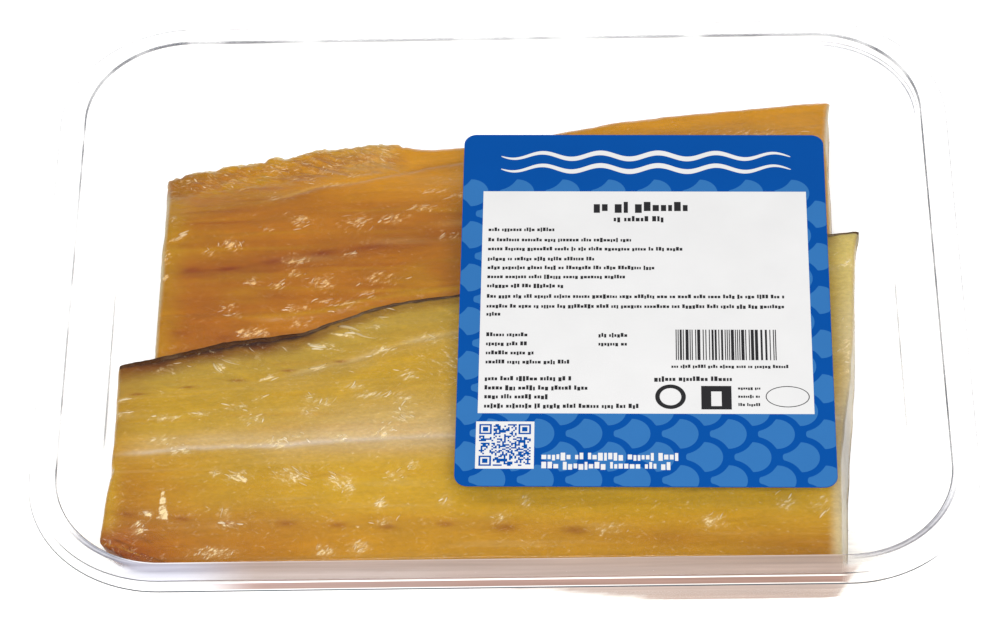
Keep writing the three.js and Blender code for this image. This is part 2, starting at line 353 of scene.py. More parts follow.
def roundedLoop(halfX, halfY, radius, z, cornerSteps, sideSteps=0):
    # Counter-clockwise loop of a rounded rectangle: four quarter circles joined by straight sides
    quarter = np.linspace(0, np.pi / 2, cornerSteps + 1)
    starts = np.array([-np.pi / 2, 0, np.pi / 2, np.pi])
    signs = np.array([(1, -1), (1, 1), (-1, 1), (-1, -1)])
    angles = starts[:, None] + quarter[None, :]
    x = signs[:, :1] * (halfX - radius) + radius * np.cos(angles)
    y = signs[:, 1:] * (halfY - radius) + radius * np.sin(angles)
    share = np.linspace(0, 1, sideSteps + 2)[None, 1:-1]
    x = np.hstack([x, mix(x[:, -1:], np.roll(x[:, :1], -1, axis=0), share)])
    y = np.hstack([y, mix(y[:, -1:], np.roll(y[:, :1], -1, axis=0), share)])
    return np.stack([x.ravel(), y.ravel(), np.full(x.size, z)], axis=1)


def bendProfile(corners, steps):
    # Profile of (inset, height, corner radius, bend, looks): each corner becomes a short curve,
    # (1-t)^2 start + 2t(1-t) corner + t^2 end, that starts and ends one bend away from it
    table = np.array([row[:4] for row in corners], float)
    rows = []
    looks = []
    for number, corner in enumerate(table):
        bend = corner[3]
        if bend == 0:
            rows.append(corner[:3])
            looks.append(corners[number][4])
            continue
        before = table[number - 1]
        after = table[number + 1]
        shareIn = min(bend / max(np.hypot(*(before - corner)[:2]), 1e-6), 0.45)
        shareOut = min(bend / max(np.hypot(*(after - corner)[:2]), 1e-6), 0.45)
        start = mix(corner, before, shareIn)
        end = mix(corner, after, shareOut)
        for t in np.linspace(0, 1, steps + 1):
            rows.append(((1 - t) ** 2 * start + 2 * t * (1 - t) * corner + t * t * end)[:3])
            looks.append(corners[number][4])
    return np.array(rows), looks


def trayProfile(values):
    # From the middle of the underside, up the outside, over the lip, and down the inside. Each row: inset,
    # height, corner radius, bend, then its painted reflections and highlights on the sides, along the back,
    # on the near corners, on the painted reflection that sweeps round them, near the left and along the near
    # middle. One word stands for all six.
    t, top, flange = values["wall"], values["height"], values["flange"]
    flare, drop, bend = values["lipFlare"], values["lipDrop"], values["baseBend"]
    ledge, mouth, corner = values["ledgeWidth"], values["mouthCorner"], values["baseCorner"]
    ledgeTop = top - values["ledgeDepth"]
    base = ledge + values["wallLean"]
    rows = [(base + bend + 30, 0, corner, 0, "clear")]
    for number, angle in enumerate(np.linspace(0, np.pi / 2, values["baseRows"])):
        looks = "foot clear clear clear clear clear" if number == 7 else "clear"
        inset = base - t + (bend + t) * (1 - np.sin(angle))
        rows.append((inset, (bend + t) * (1 - np.cos(angle)), corner, 0, looks))
    for share in np.linspace(0.1, 0.9, values["wallRows"]):
        rows.append((mix(base, ledge, share) - t, mix(bend + t, ledgeTop - t, share),
                     mix(corner, mouth - ledge + t, share), 0, "clear"))
    rows += [
        (ledge - t, ledgeTop - t, mouth - ledge + t, 0.35, "clear"),
        (-t, ledgeTop, mouth + t, 0.3, "clear"),
        (-t, top - t, mouth + t, 0.4, "clear"),
        (t - flange, top - t, mouth + flange - t, 0.5, "clear"),
        (t - flange - flare, top - drop, mouth + flange + flare - t, 0.12, "clear"),
    ]
    # The lip's outer slope, as shares of it down from the flange
    slope = [
        (1.0, "faint faint slate slate slate slate"), (0.9, "faint faint slate slate slate slate"),
        (0.88, "clear clear clear clear white white"), (0.83, "clear clear clear clear white white"),
        (0.8, "clear clear clear clear white rose"), (0.3, "clear clear clear clear frost rose"),
        (0.27, "clear clear clear clear white white"), (0.17, "clear clear clear clear white white"),
        (0.14, "clear clear clear clear white brown"), (0.05, "clear clear bent bent slate brown"),
    ]
    rows += [(-flange - flare * share, top - drop * share, mouth + flange + flare * share, 0, looks)
             for share, looks in slope]
    rows += [
        (-flange, top - 0.05, mouth + flange, 0, "faint faint bent bent slate brown"),
        (0.15 - flange, top, mouth + flange - 0.15, 0, "clear clear clear clear frost pink"),
    ]
    # The flange's top: how far out from the mouth, and how the painted reflection that sweeps round the
    # corners looks there
    flat = [(2.6, "clear"), (1.75, "clear"), (1.6, "smoke"), (1.3, "smoke"), (1.15, "grey"), (0.8, "grey"),
            (0.65, "smoke")]
    rows += [(-out, top, mouth + out, 0, f"clear clear clear {look} lilac pink") for out, look in flat]
    rows += [
        (-0.42, top, mouth + 0.42, 0, "clear clear clear grey white pale"),
        (-0.3, top - 0.02, mouth + 0.3, 0, "line line line smoke white pale"),
        (t * 0.05, top - 0.4, mouth, 0, "line line line smoke clear clear"),
        (t * 0.08, top - 0.6, mouth, 0, "line line line grey clear clear"),
        (t * 0.09, top - 0.9, mouth, 0, "clear clear clear grey clear clear"),
        (t * 0.1, top - 1.0, mouth, 0, "clear clear clear smoke clear clear"),
        (t * 0.11, top - 1.3, mouth, 0, "clear clear clear smoke clear clear"),
        (t * 0.12, top - 1.9, mouth, 0, "clear"),
        (t * 0.15, ledgeTop + 0.4, mouth, 0, "clear"),
        (t * 0.18, ledgeTop + 0.2, mouth, 0, "edge edge clear clear clear clear"),
        (t * 0.2, ledgeTop, mouth, 0, "edge edge clear clear clear clear"),
        (t * 0.2 + 0.15, ledgeTop, mouth, 0, "clear"),
        (ledge - 0.3, ledgeTop - t * 0.25, mouth - ledge, 0, "clear"),
        (ledge - 0.15, ledgeTop - t * 0.28, mouth - ledge, 0, "edge edge clear clear clear clear"),
        (ledge, ledgeTop - t * 0.3, mouth - ledge, 0, "edge edge clear clear clear clear"),
        (ledge + 0.05, ledgeTop - t, mouth - ledge, 0, "clear"),
        (base, values["wall"], corner, bend, "clear"),
        (base + bend * 0.6 + 30, values["wall"], corner, 0, "clear"),
    ]
    return rows


def trayRegions(rim, arc, sides):
    # Six weights for each point of a loop, which add up to 1: sides, back, near corners, the sweep round
    # them, near left, near middle. arc counts round each corner from 0 to 1.
    x, y = rim[:, 0], rim[:, 1]
    near = smoothStep(-y / np.abs(y).max(), 0.55, 0.98)
    back = smoothStep(y, 48, 78)
    middle = smoothStep(x, -78, -56) * fade(x, 79, 81)
    left = smoothStep(x, -93, -84) * fade(x, -78, -56)
    round1 = np.sin(np.pi * arc) ** 0.6
    round4 = smoothStep(arc, 0.25, 0.6)
    stroke = np.hstack([np.stack([round1, arc * 0, arc * 0, round4]), np.zeros((4, sides))]).ravel()
    edge = near * (1 - middle - left)
    sweep = np.maximum(edge, stroke * (1 - middle - left)) * stroke
    weights = np.stack([1 - near - back - np.maximum(sweep - edge, 0), back,
                        edge - np.minimum(sweep, edge), sweep, near * left, near * middle])
    return np.clip(weights, 0, 1)


def reflectionPaintOf(profile, looks, values):
    # Colour and cover of every point: each row's painted reflections and highlights, weighted by the
    # regions.
    # The painted lines fade and break up along the sides and the middle of the back.
    steps, sides = values["cornerSteps"], values["sideSteps"]
    rim = roundedLoop(*values["mouthHalf"], values["mouthCorner"], values["height"], steps, sides)
    x, y = rim[:, 0], rim[:, 1]
    weights = trayRegions(rim, np.linspace(0, 1, steps + 1), sides)
    broken = np.clip(0.75 + 0.6 * patchNoise(x / 5 + 9, y / 5 + 9, 41), 0.2, 1)
    alongSide = np.where(x > 0, 0.6 + 0.4 * broken, broken * (0.7 + 0.3 * smoothStep(np.abs(y), 20, 60)))
    alongBack = broken * (0.6 + 0.4 * bell(x, -78, 34) + 0.4 * bell(x, 84, 34))
    rimLine = np.stack([alongSide, alongBack] + [np.ones(len(x))] * 4)
    halfBroken = 0.5 + 0.5 * broken
    stepLine = smoothStep(np.abs(x), 76, 86) * smoothStep(y, 50, 60) * (0.3 + 0.6 * (x > 0)) * halfBroken
    footLine = smoothStep(y, -34, -24) * fade(y, 20, 28) * halfBroken
    nearRight = (y < 0) * smoothStep(x, 94, 99)
    lipEdge = 1 - 0.85 * nearRight
    lipBend = (1 - np.maximum(nearRight, (y < 0) * smoothStep(x, 80, 88))) * fade(-x, 99, 104)
    strength = {"line": rimLine, "faint": rimLine, "edge": stepLine, "foot": footLine, "slate": lipEdge,
                "bent": lipBend}
    cover = np.empty((len(looks), len(x)))
    colour = np.empty((len(looks), len(x), 3))
    for number, names in enumerate(looks):
        names = names.split() if " " in names else [names] * 6
        table = np.array([values["glaze"][name] for name in names])
        amount = weights.copy()
        for name in set(names) & set(strength):
            same = np.array([[other == name] for other in names])
            amount = np.where(same, amount * strength[name], amount)
        cover[number] = table[:, 3] @ amount
        share = amount * table[:, 3:4] + 1e-6
        colour[number] = (share.T @ table[:, :3]) / share.sum(axis=0)[:, None]
    # The near wall: painted white over the shaded floor and fish behind it, and from the middle to the right
    # a painted warm tint of the fish seen through it, which reaches further down there
    height = profile[:, 1:2]
    outside = (np.arange(len(looks)) < len(looks) // 2)[:, None]
    wall = outside * smoothStep(height, -1, 1) * fade(height, 21, 26) * smoothStep(-y, 60, 80)
    foot = values["paintedFishTintFoot"](x) + 1.2 * patchNoise(x / 4 + 3, x * 0 + 0.5, 43)
    warm = smoothStep(height - foot, -1, 2) * smoothStep(x, -24, -8) * fade(x, 83.5, 85)
    look = mix(np.array(values["paintedWallWhite"]), np.array(values["paintedFishTint"]), warm[:, :, None])
    colour = mix(colour, look[:, :, :3], wall[:, :, None])
    cover = np.maximum(cover, look[:, :, 3] * wall)
    # Warmer and darker towards the right
    dusk = smoothStep(-y, 60, 80)[None, :, None] * smoothStep(x, -60, 80)[None, :, None]
    colour = colour * (1 - dusk * np.array([0.07, 0.11, 0.17]))
    return colour.reshape(-1, 3), cover.ravel()


def makeTray(values):
    profile, looks = bendProfile(trayProfile(values), values["bendSteps"])
    halfX, halfY = values["mouthHalf"]
    steps = (values["cornerSteps"], values["sideSteps"])
    loops = [roundedLoop(halfX - inset, halfY - inset, min(radius, halfY - inset - 1), z, *steps)
             for inset, z, radius in profile]
    piece = loopPiece("tray_shell", loops, "tray")
    colour, cover = reflectionPaintOf(profile, looks, values)
    paintPoints(piece, "glaze", colour)
    paintPoints(piece, "cover", cover)
    piece.data.materials.append(clearPlastic("clear tray plastic", values))


def clearPlastic(name, values):
    # Clear plastic as a thin veil: a little at grazing angles, as a painted reflection, and more where the
    # painted reflections and highlights cover it, with fine streaks along X in that paint
    material, tree, shader = newMaterial(name)
    facing = addNode(tree, "ShaderNodeLayerWeight", {"Blend": 0.35}, "Facing")
    grazing = combine(tree, "MULTIPLY", combine(tree, "POWER", facing, 3.0), values["grazingAlpha"])
    streaky = remap(tree, noiseOf(tree, (22, 900, 900), 3.0), 0.3, 0.7, 0.86, 1.14)
    alpha = combine(tree, "ADD", grazing, values["clearness"])
    alpha = combine(tree, "MAXIMUM", alpha, attributeOf(tree, "cover"))
    plugIn(tree, shader, {"Base Color": scaleColour(tree, attributeOf(tree, "glaze", "Color"), streaky),
                          "Alpha": combine(tree, "MINIMUM", alpha, 1.0), "Roughness": 0.08, "IOR": 1.5})
    return material


makeTray(tray)
print("stage: tray")


# Lid film: sealed to the flange, stretched flat, with faint waves towards the seal
film = {
    "thickness": 0.12, "edgeGap": 0.4, "lift": 0.03, "waveHeight": 0.05, "waveLength": 9,
    "rings": 26, "tint": (0.95, 0.96, 0.98), "clearness": 0.006,
}


def makeFilm(values):
    # Loops shrink from the sealed edge to a small one in the middle; both faces carry the same waves
    reach = tray["flange"] - values["edgeGap"]
    halfX = tray["mouthHalf"][0] + reach
    halfY = tray["mouthHalf"][1] + reach
    outerCorner = tray["mouthCorner"] + reach
    steps = tray["cornerSteps"]
    shrinks = np.concatenate([[0, 1.2, 2.4, 3.6, reach], reach + np.linspace(1, 62, values["rings"])])
    base = tray["height"] + values["lift"]
    bottom = []
    for shrink in shrinks:
        loop = roundedLoop(halfX - shrink, halfY - shrink, max(outerCorner - shrink, 4), base, steps)
        inside = smoothStep(shrink, reach, reach + 8)
        wave = patchNoise(loop[:, 0] / values["waveLength"] + 20, loop[:, 1] / values["waveLength"] + 20, 5)
        loop[:, 2] += inside * values["waveHeight"] * (wave + 1)
        bottom.append(loop)
    top = [loop + (0, 0, values["thickness"]) for loop in bottom]
    piece = loopPiece("lid_film_sheet", bottom[::-1] + top, "lid_film")
    material, tree, shader = newMaterial("clear lid film")
    ripple = noiseOf(tree, (45, 45, 45))
    alpha = remap(tree, ripple, 0, 1, values["clearness"] * 0.7, values["clearness"] * 1.3)
    plugIn(tree, shader, {"Base Color": (*values["tint"], 1), "Roughness": 0.05, "Alpha": alpha,
                          "Normal": bumpOf(tree, ripple, 0.04, 0.001)})
    piece.data.materials.append(material)


makeFilm(film)
print("stage: lid film")


# Label: printed paper on the film. Places are millimetres from the label's middle.
label = {
    "centre": (34.8, -7.3), "turn": -1.15, "size": (91, 110.3), "corner": 3.2,
    "thickness": 0.15, "inkStep": 0.04,
    "blue": (0.0005, 0.062, 0.29), "lightBlue": (0.028, 0.141, 0.376), "white": (0.65, 0.65, 0.655),
    "ink": (0.02, 0.02, 0.022),
    "panel": ((-40.3, -33.5), (40.6, 36.3)),
    "scalePitch": 11.5, "scaleRow": 6.85, "scaleInner": 4.4, "scaleOuter": 6.15, "scaleTop": 36,
    "scaleShift": (-3.2, 1.6), "scaleHidden": (36.4, -29.4, 33),
    "codeCentre": (-33.6, -43.0), "codeSide": 14, "codeCells": 29, "codePrint": 12.4,
    "waveRows": (48.1, 43.9), "waveLength": 14.6, "waveHalf": 36.6, "waveDeep": 0.75,
    # Rows of print: left end, right end, height of their middle, height of the letters
    "darkRows": [
        (-12.6, 11.2, 31.4, 3.0), (-7.6, 5.2, 27.4, 1.7), (-38.8, -22, 23.9, 1.15),
        (-38.8, -2.6, 20.6, 1.15), (-38.8, 10, 17.7, 1.15), (-38.8, -12, 14.5, 1.15),
        (-38.8, 3, 11.7, 1.15), (-38.8, -4, 8.8, 1.15), (-38.8, -20, 5.9, 1.15),
        (-38.8, 34.5, 2.6, 1.15), (-38.8, 35, -0.5, 1.15), (-38.8, -34.6, -3, 1.15),
        (-38.7, -27.5, -9.4, 1.2), (-38.7, -28, -12.2, 1.2), (-38.7, -26, -15, 1.2),
        (-38.7, -17.8, -17.8, 1.2), (-11.3, -3.4, -9.5, 1.2), (-11.3, -3.4, -12.2, 1.2),
        (-38.8, -17, -22.9, 1.3), (-38.8, -13, -25.7, 1.3), (-38.8, -22.6, -28.4, 1.3),
        (-38.8, -1, -31.2, 1.3),
        (2.2, 21.5, -22.9, 1.4), (22.4, 28, -25.7, 0.9), (22.4, 28, -28.2, 0.9), (22.4, 28, -30.7, 0.9),
    ],
    "whiteRows": [(-24.8, 8.2, -46.2, 1.9), (-24.8, 6.3, -48.9, 1.9)],
    "bars": {"left": 7.5, "right": 32, "foot": -17.2, "top": -7.8, "caption": (6.4, 35.2, -19.1, 1.0)},
    "rings": [(6.1, -28.4, 3.7, 3.7, 1.1), (34.3, -28.3, 5.3, 3.2, 0.22)],
    "block": (13.5, -32.2, 20.8, -25.1), "blockLight": (15.9, -31.2, 18.4, -26.8),
}
label["base"] = tray["height"] + film["thickness"] + 2 * film["lift"]
label["top"] = label["base"] + label["thickness"]


def ontoLabel(points):
    # From the label's own millimetres to the pack's: turned about Z, then moved to its centre
    turn = math.radians(label["turn"])
    u, v = np.asarray(points, float).T
    x = label["centre"][0] + u * math.cos(turn) - v * math.sin(turn)
    y = label["centre"][1] + u * math.sin(turn) + v * math.cos(turn)
    return np.stack([x, y], axis=1)


def plates(name, outlines, low, high, material):
    # Thin flat plates, one for each outline: a floor, a lid and a wall quad for each side
    points = []
    faces = []
    for outline in outlines:
        flat = ontoLabel(outline)
        count = len(flat)
        start = sum(len(block) for block in points)
        points.append(np.column_stack([flat, np.full(count, low)]))
        points.append(np.column_stack([flat, np.full(count, high)]))
        faces.append(list(range(start + count - 1, start - 1, -1)))
        faces.append(list(range(start + count, start + 2 * count)))
        faces.extend([start + i, start + (i + 1) % count, start + count + (i + 1) % count, start + count + i]
                     for i in range(count))
    piece = meshPiece(name, np.vstack(points), np.empty((0, 4), int), "label",
                      smooth=False, extraFaces=faces)
    piece.data.materials.append(material)


def rectangle(lowU, lowV, highU, highV):
    return [(lowU, lowV), (highU, lowV), (highU, highV), (lowU, highV)]


def insideLabel(outline, margin):
    # Points past the label's rounded edge are drawn back to it
    halfU = label["size"][0] / 2 - margin
    halfV = label["size"][1] / 2 - margin
    radius = label["corner"]
    core = np.array([halfU - radius, halfV - radius])
    past = np.maximum(np.abs(outline) - core, 0)
    far = np.hypot(past[:, 0], past[:, 1])[:, None]
    keep = np.where(far > radius, radius / np.maximum(far, 1e-6), 1)
    return np.sign(outline) * (np.abs(outline) - past * (1 - keep))


def fishScales(values):
    # Each scale: a circle, cut on its left by the wider circles of its two neighbours there
    angle = np.linspace(0, 2 * np.pi, 56, endpoint=False)
    ray = np.stack([np.cos(angle), np.sin(angle)], axis=1)
    reach = np.full(len(angle), float(values["scaleInner"]))
    for side in (1, -1):
        neighbour = np.array([-values["scalePitch"] / 2, side * values["scaleRow"]])
        along = ray @ neighbour
        inside = values["scaleOuter"] ** 2 - neighbour @ neighbour + along ** 2
        hit = along - np.sqrt(np.maximum(inside, 0))
        reach = np.where((inside > 0) & (along > 0), np.minimum(reach, hit), reach)
    shape = ray * reach[:, None]
    halfU = label["size"][0] / 2
    halfV = label["size"][1] / 2
    outlines = []
    shiftU, shiftV = values["scaleShift"]
    hiddenU, hiddenLow, hiddenHigh = values["scaleHidden"]
    for row in range(-9, 9):
        for column in range(-6, 7):
            u = (column + (row % 2) / 2) * values["scalePitch"] + shiftU
            v = row * values["scaleRow"] + shiftV
            underPanel = abs(u) < hiddenU and hiddenLow < v < hiddenHigh
            outside = abs(u) > halfU + 3 or abs(v) > halfV + 3
            if not (underPanel or outside or v > values["scaleTop"]):
                outlines.append(insideLabel(shape + (u, v), 0.1))
    return outlines


def textLine(lowU, highU, v, height, generator):
    # A line of print: words made of small plain blocks, some of them taller or lower
    blocks = []
    u = lowU
    while u < highU - height * 0.5:
        for _ in range(generator.integers(2, 9)):
            width = height * generator.uniform(0.32, 0.62)
            if u + width > highU:
                break
            rise = height * generator.choice([0.66, 0.66, 0.74, 1.0])
            drop = height * generator.choice([0, 0, 0, 0.2])
            foot = v - height / 2
            blocks.append(rectangle(u, foot - drop, u + width, foot + rise))
            u += width + height * 0.17
        u += height * 0.42
    return blocks


def printedRows(rows, generator):
    return [block for row in rows for block in textLine(*row, generator)]


def printedBars(values, generator):
    # Upright bars of uneven width and gap, with a short row of print below
    bars = []
    u = values["left"]
    while u < values["right"]:
        width = generator.choice([0.25, 0.25, 0.5, 0.75])
        bars.append(rectangle(u, values["foot"], u + width, values["top"]))
        u += width + generator.choice([0.25, 0.4, 0.6])
    return bars + textLine(*values["caption"], generator)


def arc(centreU, centreV, radiusU, radiusV, start, stop, count):
    angle = np.linspace(start, stop, count)
    return np.stack([centreU + radiusU * np.cos(angle), centreV + radiusV * np.sin(angle)], axis=1)


def ring(centreU, centreV, radiusU, radiusV, thickness):
    # Two halves, so that the ring stays a pair of simple outlines
    halves = []
    for start in (0, np.pi):
        outer = arc(centreU, centreV, radiusU, radiusV, start, start + np.pi, 25)
        inner = arc(centreU, centreV, radiusU - thickness, radiusV - thickness, start, start + np.pi, 25)
        halves.append(np.vstack([outer, inner[::-1]]))
    return halves


def codeCells(generator, centre, side, cells):
    # Square of small cells filled at random, with a framed square and a clear margin in three corners
    filled = generator.random((cells, cells)) < 0.48
    fromMiddle = np.maximum(*np.abs(np.indices((7, 7)) - 3))
    framed = (fromMiddle != 2)
    block = np.zeros((8, 8), bool)
    block[:7, :7] = framed
    filled[:8, :8] = block
    filled[:8, -8:] = block[:, ::-1]
    filled[-8:, -8:] = block[::-1, ::-1]
    cell = side / cells
    low = np.array(centre) - side / 2
    return [rectangle(*(low + cell * spot), *(low + cell * (spot + 1))) for spot in np.argwhere(filled)]


def paper(name, colour, roughness=0.42):
    # Coated paper: faint mottling of the ink and a very fine grain
    material, tree, shader = newMaterial(name)
    shade = remap(tree, noiseOf(tree, (90, 90, 90), 4.0), 0.2, 0.8, 0.97, 1.03)
    fibre = noiseOf(tree, (1500, 1500, 1500))
    plugIn(tree, shader, {"Base Color": scaleColour(tree, colour, shade), "Roughness": roughness,
                          "Specular IOR Level": 0.06, "Normal": bumpOf(tree, fibre, 0.05, 0.0002)})
    return material


def makeWaves(values):
    # Two wavy lines, thick in the middle and thin at their ends
    u = np.linspace(-36, 37, 120)
    thickness = values["waveDeep"] * np.sqrt(np.clip(1 - ((u - 0.5) / values["waveHalf"]) ** 2, 0, 1)) + 0.05
    waves = []
    for v in values["waveRows"]:
        crest = v + np.sin(u * 2 * np.pi / values["waveLength"])
        upper = np.stack([u, crest + thickness], axis=1)
        lower = np.stack([u, crest - thickness], axis=1)
        waves.append(np.vstack([lower, upper[::-1]]))
    return waves


def makeLabel(values):
    generator = np.random.default_rng(12)
    top = values["top"]
    step = values["inkStep"]
    blue = paper("label blue", values["blue"])
    lightBlue = paper("label light blue", values["lightBlue"])
    white = paper("label white", values["white"], 0.5)
    ink = paper("label ink", values["ink"], 0.5)
    edge = roundedLoop(values["size"][0] / 2, values["size"][1] / 2, values["corner"], 0, 10)[:, :2]
    plates("label_sheet", [edge], values["base"], top, blue)
    plates("label_scales", fishScales(values), top, top + step * 0.5, lightBlue)
    codeCentre = np.array(values["codeCentre"])
    codeHalf = values["codeSide"] / 2
    whites = [rectangle(*values["panel"][0], *values["panel"][1]),
              rectangle(*(codeCentre - codeHalf), *(codeCentre + codeHalf))]
    whites += makeWaves(values) + printedRows(values["whiteRows"], generator)
    plates("label_white", whites, top, top + step, white)
    cells = codeCells(generator, codeCentre, values["codePrint"], values["codeCells"])
    darks = printedRows(values["darkRows"], generator) + printedBars(values["bars"], generator)
    darks += [half for row in values["rings"] for half in ring(*row)] + [rectangle(*values["block"])]
    inkTop = top + 1.5 * step
    plates("label_print", darks, top + step, inkTop, ink)
    plates("label_code", cells, top + step, inkTop, blue)
    plates("label_mark_light", [rectangle(*values["blockLight"])], inkTop, top + 2 * step, white)


makeLabel(label)
print("stage: label")


# Fillets. Edge lines give y at an x and end lines x at a y, both at the foot of the fillet.
floorTop = tray["wall"]
lieGap = 0.3
wallGap = 0.15
overlapGap = 0.7
leanHeight = 20

backFillet = {
    "far": curveThrough([(-90, 54.6), (-86, 55.9), (-80, 57.9), (-73, 59.4), (-67, 60.7), (-60, 61.8),
                         (-57, 62.2), (-54, 63.6), (-48, 65), (-41, 65.2), (-35, 66.1), (-30, 65.7),
                         (-26, 64.4), (-22, 63.7), (-10, 64.3), (10, 68), (28, 71.5), (36, 72.8), (48, 74),
                         (60, 75.1), (72, 76.4), (90, 77.4)]),
    "near": curveThrough([(-90, -31), (-40, -18), (20, -10), (90, 2)]),
    "left": curveThrough([(-40, -89), (1, -88.5), (32, -88.2), (60, -88)]),
    "right": curveThrough([(-20, 83), (40, 84.6), (66, 85.4), (80, 87.2)]),
    "leftLean": lambda y: 2.4, "rightLean": lambda y: 2,
    "bulge": 0.45, "nearTop": 9, "nearUnder": 4, "farTop": 4, "farUnder": 3,
    "endRounding": 1.6, "endDepth": 0.8, "skin": 0.5, "waver": 0.3,
    "rim": lambda x: x * 0, "skinReach": lambda x: x * 0 + 0.1,
}
frontFillet = {
    "far": curveThrough([(-100, -13.2), (-95, -12.6), (-86, -10.9), (-77, -8.4), (-69, -6.4), (-58, -4.8),
                         (-51, -3.7), (-42, -0.3), (-38, 1.1), (-29.5, 3.7), (-19, 5.3), (-12, 6.2),
                         (30, 13.8), (80, 22.2), (90, 23.6)]),
    "near": lambda x: np.full(np.shape(x), -76.8),
    "left": curveThrough([(-76.8, -87.5), (-75.2, -88.6), (-73.2, -91.8), (-71.4, -93.8), (-69.8, -96.6),
                          (-68.4, -98.7), (-66.5, -98.9), (-63, -98.6), (-58, -98.3), (-52, -97.6),
                          (-48.5, -96.9), (-46.5, -97.4), (-40, -97.1), (-25, -97.1), (10, -97.6)]),
    "right": curveThrough([(-76, 82.2), (-62, 82.9), (-47, 83.9), (-38, 84.8), (-30, 85.5), (-21, 86.6),
                           (-11, 87.7), (3, 88.5), (14, 89.3), (19, 90), (23, 90.8), (38, 91)]),
    "leftLean": lambda y: 2.5,
    "rightLean": curveThrough([(-76, 2.4), (-60, 2.6), (-46, 2.6), (-38, 2.1), (-25, 1.5), (-8, 1.4),
                               (30, 1.3)]),
    "bulge": 0.3, "nearTop": 2.6, "nearUnder": 2.4, "farTop": 2.4, "farUnder": 2,
    "endRounding": 1.6, "endDepth": 0.8, "skin": 0.5, "waver": 0.22, "farThickness": 3.6,
    "rim": lambda x: x * 0 + 0.3,
}


def skinReach(x):
    # How far the dark skin laps over the far edge: most near x -68, ragged along its length
    ragged = roughNoise(x / 2.6 + 40, x * 0 + 4.5, 87)
    wide = bell(x, -68, 20) + 0.9 * smoothStep(x, 86, 90)
    return 1.5 + 1.1 * wide + 0.5 * ragged


def wallInset(z):
    # How far the tray's inner face stands in from the mouth at a height, bend at the floor included
    wallTop = tray["height"] - tray["ledgeDepth"]
    foot = floorTop + tray["baseBend"]
    straight = tray["ledgeWidth"] + tray["wallLean"] * (wallTop - z) / (wallTop - foot)
    turn = np.arccos(np.clip(1 - (z - floorTop) / tray["baseBend"], -1, 1))
    bent = tray["ledgeWidth"] + tray["wallLean"] + tray["baseBend"] * (1 - np.sin(turn))
    return np.where(z > wallTop, 0, np.where(z > foot, straight, bent))


def keepInTray(x, y, z):
    # Food past the tray's wall is drawn back to it, along the wall's normal
    inset = wallInset(z) + lieGap + wallGap
    radius = tray["baseCorner"] - lieGap
    boxX = tray["mouthHalf"][0] - inset - radius
    boxY = tray["mouthHalf"][1] - inset - radius
    pastX = np.maximum(np.abs(x) - boxX, 0)
    pastY = np.maximum(np.abs(y) - boxY, 0)
    past = np.hypot(pastX, pastY)
    keep = np.where(past > radius, radius / np.maximum(past, 1e-6), 1)
    return (np.sign(x) * (np.abs(x) - pastX * (1 - keep)),
            np.sign(y) * (np.abs(y) - pastY * (1 - keep)), z)


def backBody(x, y):
    # Thickness without relief: thin at the far edge, pressed down under the front fillet
    far = backFillet["far"](x)
    near = backFillet["near"](x)
    share = (y - near) / (far - near)
    thick = mix(9.6, 15.8, smoothStep(far - y, 2, 26))
    return thick + 1.2 * (x / 90) - 6 * fade(share, 0, 0.34)


def frontUnderside(x, y):
    # The floor, then a smooth rise onto the back fillet
    rest = floorTop + lieGap
    rise = smoothStep(y - backFillet["near"](x), -16, 1)
    return rest + rise * (backBody(x, y) + overlapGap)


def backUnderside(x, y):
    return np.full(np.shape(x), floorTop + lieGap)


# Lines that can be followed on the fillets, as y at an x
lines = {
    "frontSeam": curveThrough([(-98, -44.6), (-86, -43.8), (-73, -43), (-52, -42.7), (-40, -41.8),
                               (-25, -41.3), (-12, -40.7), (90, -36)]),
    "frontFarLine": curveThrough([(-98, -28), (-74, -24.5), (-59, -21.2), (-46, -17.3), (-36, -15.1),
                                  (-26, -11.1), (-12, -7.7), (30, 1), (90, 12)]),
    "frontBones": curveThrough([(-98, -61), (-90, -61.6), (-78, -63.1), (-65, -64.1), (-40, -65.4),
                                (-14, -65.8), (13, -67.2), (56, -70.3), (90, -71)]),
    "backBones": curveThrough([(-90, 17.6), (-68, 18), (-55, 20.5), (-37, 23.5), (-11, 28), (90, 42)]),
    "backLine": curveThrough([(-90, 34), (-59, 40.8), (-47, 45.6), (-38, 47.2), (-28, 50.8), (-20, 54.1),
                              (20, 60.5), (90, 71)]),
    "backMid": curveThrough([(-90, 27), (-60, 30.1), (-48, 32.8), (-37, 32.4), (-24, 35.3), (-11, 38.6),
                             (90, 54)]),
    "backLow": curveThrough([(-90, 3), (-70, 3.6), (-56, 4.1), (-44, 5.8), (-34, 8.6), (90, 24)]),
}


def flakeSteps(x, y, slant, pitch, seed):
    # Steps across a slanted direction: a quick rise over a seventh of the pitch, then a slow fall
    along = (x * math.sin(math.radians(slant)) + y * math.cos(math.radians(slant))) / pitch
    phase = along + 0.35 * patchNoise(x / 17 + 8, y / 17 + 3, seed)
    saw = phase - np.floor(phase)
    return np.minimum(saw / 0.14, (1 - saw) / 0.86)


def clusterMask(x, y, clusters, rising):
    # 1 at the middle of a cluster whose folds rise (or fall) to the right, fading over twice its spread
    total = np.zeros(np.shape(x))
    for centreX, centreY, spreadX, spreadY, count, angle, *_ in clusters:
        if count > 1 and (angle > 0) == rising:
            amount = 0.92 + 0.02 * count
            reach = bell(x, centreX, 1.4 * spreadX + 1.2) * bell(y, centreY, 1.5 * spreadY + 1)
            total = np.maximum(total, amount * reach)
    return np.minimum(total, 1.04)


